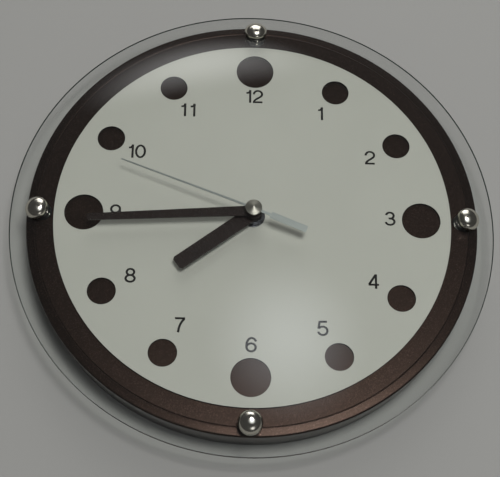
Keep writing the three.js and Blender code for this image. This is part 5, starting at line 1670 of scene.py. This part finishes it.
class CLOCK_OT_stage(ClockOperator, bpy.types.Operator):
    """Sets the floor, the soft lights and the camera"""

    bl_idname = "clock.stage"
    bl_label = "Stage"

    def lamp(self, name, watts, size, place):
        """A soft rectangular light that faces the clock."""
        bpy.ops.object.light_add(type="AREA", location=place)
        lamp = bpy.context.object
        lamp.name = name
        lamp.data.shape = "RECTANGLE"
        lamp.data.energy = watts
        lamp.data.size = size[0]
        lamp.data.size_y = size[1]
        lamp.rotation_euler = (-Vector(place)).to_track_quat("-Z", "Y").to_euler()
        lamp.visible_transmission = False
        return lamp

    def feather(self, lamp):
        """Lets a lamp fade from its middle to its edges, so that the glass mirrors no hard outline of it."""
        lamp.data.use_nodes = True
        tree = lamp.data.node_tree
        corner = add(tree, "ShaderNodeNewGeometry")["Parametric"]
        centred = {"Vector": corner, "Location": (-1, -1, 0), "Scale": (2, 2, 1)}
        middle = add(tree, "ShaderNodeMapping", centred)["Vector"]
        fade = add(tree, "ShaderNodeTexGradient", {"Vector": middle}, gradient_type="SPHERICAL")["Fac"]
        span = {"Value": fade, "To Max": FEATHER_PEAK}
        level = add(tree, "ShaderNodeMapRange", span, interpolation_type="SMOOTHSTEP")["Result"]
        emission = next(node for node in tree.nodes if node.type == "EMISSION")
        tree.links.new(level, emission.inputs["Strength"])

    def execute(self, context):
        s = context.scene.clock_stage
        bpy.ops.object.select_all(action="DESELECT")
        bpy.ops.mesh.primitive_plane_add(size=s.floor_size)
        floor = bpy.context.object
        floor.name = "floor"
        floor.data.materials.append(floor_paint(s.floor))

        world = bpy.data.worlds.new("studio")
        world.use_nodes = True
        background = world.node_tree.nodes["Background"]
        background.inputs["Strength"].default_value = s.sky
        background.inputs["Color"].default_value = (1, 1, 1, 1)
        context.scene.world = world
        key = self.lamp("key", s.key_power, (s.key_size, s.key_size), s.key)
        far = self.lamp("far", s.far_power, (s.far_size, s.far_size), s.far)
        for lamp in (key, far):
            # The glass would mirror these two as hard squares, so it alone is left out of their light
            pick(lamp, bpy.data.objects["glass_dome"])
            bpy.ops.object.light_linking_receivers_link(link_state="EXCLUDE")
        glow = self.lamp("glow", s.glow_power, (s.glow_size, s.glow_size), s.glow)
        glow.data.color = s.glow_tint[:3]
        self.feather(glow)
        panel = self.lamp("panel", s.panel_power, (s.panel_size, s.panel_size), s.panel)
        # Only bright metal shows the panel; it adds no light of its own to the rest
        panel.visible_diffuse = False
        self.feather(panel)
        self.feather(self.lamp("window", s.window_power, (s.window_width, s.window_height), s.window))

        aim = Vector(s.aim)
        level = Vector((math.sin(s.azimuth), -math.cos(s.azimuth), 0)) * math.cos(s.elevation)
        offset = level + Vector((0, 0, math.sin(s.elevation)))
        bpy.ops.object.camera_add(location=aim + offset * s.distance)
        camera = bpy.context.object
        camera.name = "camera"
        facing = (-offset).to_track_quat("-Z", "Y").to_matrix().to_4x4()
        camera.rotation_euler = (facing @ Matrix.Rotation(-s.roll, 4, "Z")).to_euler()
        camera.data.sensor_width = SENSOR_WIDTH
        camera.data.sensor_fit = "HORIZONTAL"
        camera.data.lens = s.lens / MM
        context.scene.camera = camera
        context.scene.view_settings.view_transform = "Standard"
        return {"FINISHED"}


class CLOCK_PT_panel(bpy.types.Panel):
    """The buttons that build the clock, in order"""

    bl_idname = "CLOCK_PT_panel"
    bl_label = "Domed wall clock"
    bl_space_type = "VIEW_3D"
    bl_region_type = "UI"
    bl_category = "Clock"

    def draw(self, context):
        for operator in OPERATORS:
            self.layout.operator(operator.bl_idname)


OPERATORS = (
    CLOCK_OT_case,
    CLOCK_OT_dial,
    CLOCK_OT_screws,
    CLOCK_OT_hands,
    CLOCK_OT_second_hand,
    CLOCK_OT_clamp,
    CLOCK_OT_movement,
    CLOCK_OT_battery,
    CLOCK_OT_hanger,
    CLOCK_OT_inside,
    CLOCK_OT_glass,
    CLOCK_OT_stage,
)
SETTINGS = {
    "clock_colours": ClockColours,
    "clock_case": CaseSizes,
    "clock_dial": DialSizes,
    "clock_glass": GlassSizes,
    "clock_screws": ScrewSizes,
    "clock_hands": HandSizes,
    "clock_clamp": ClampSizes,
    "clock_movement": MovementSizes,
    "clock_battery": BatterySizes,
    "clock_hanger": HangerSizes,
    "clock_stage": StageSettings,
}


def register():
    """Registers the settings, the operators and the panel."""
    for name, group in SETTINGS.items():
        bpy.utils.register_class(group)
        setattr(bpy.types.Scene, name, PointerProperty(type=group))
    for operator in OPERATORS:
        bpy.utils.register_class(operator)
    bpy.utils.register_class(CLOCK_PT_panel)


def unregister():
    """Takes everything out again."""
    bpy.utils.unregister_class(CLOCK_PT_panel)
    for operator in reversed(OPERATORS):
        bpy.utils.unregister_class(operator)
    for name, group in reversed(SETTINGS.items()):
        delattr(bpy.types.Scene, name)
        bpy.utils.unregister_class(group)


def main():
    """Builds the whole clock on its stage."""
    register()
    bpy.ops.clock.case()
    bpy.ops.clock.dial()
    bpy.ops.clock.screws()
    bpy.ops.clock.hands()
    bpy.ops.clock.second_hand()
    bpy.ops.clock.clamp()
    bpy.ops.clock.movement()
    bpy.ops.clock.battery()
    bpy.ops.clock.hanger()
    bpy.ops.clock.inside()
    bpy.ops.clock.glass()
    bpy.ops.clock.stage()


if __name__ == "__main__":
    main()
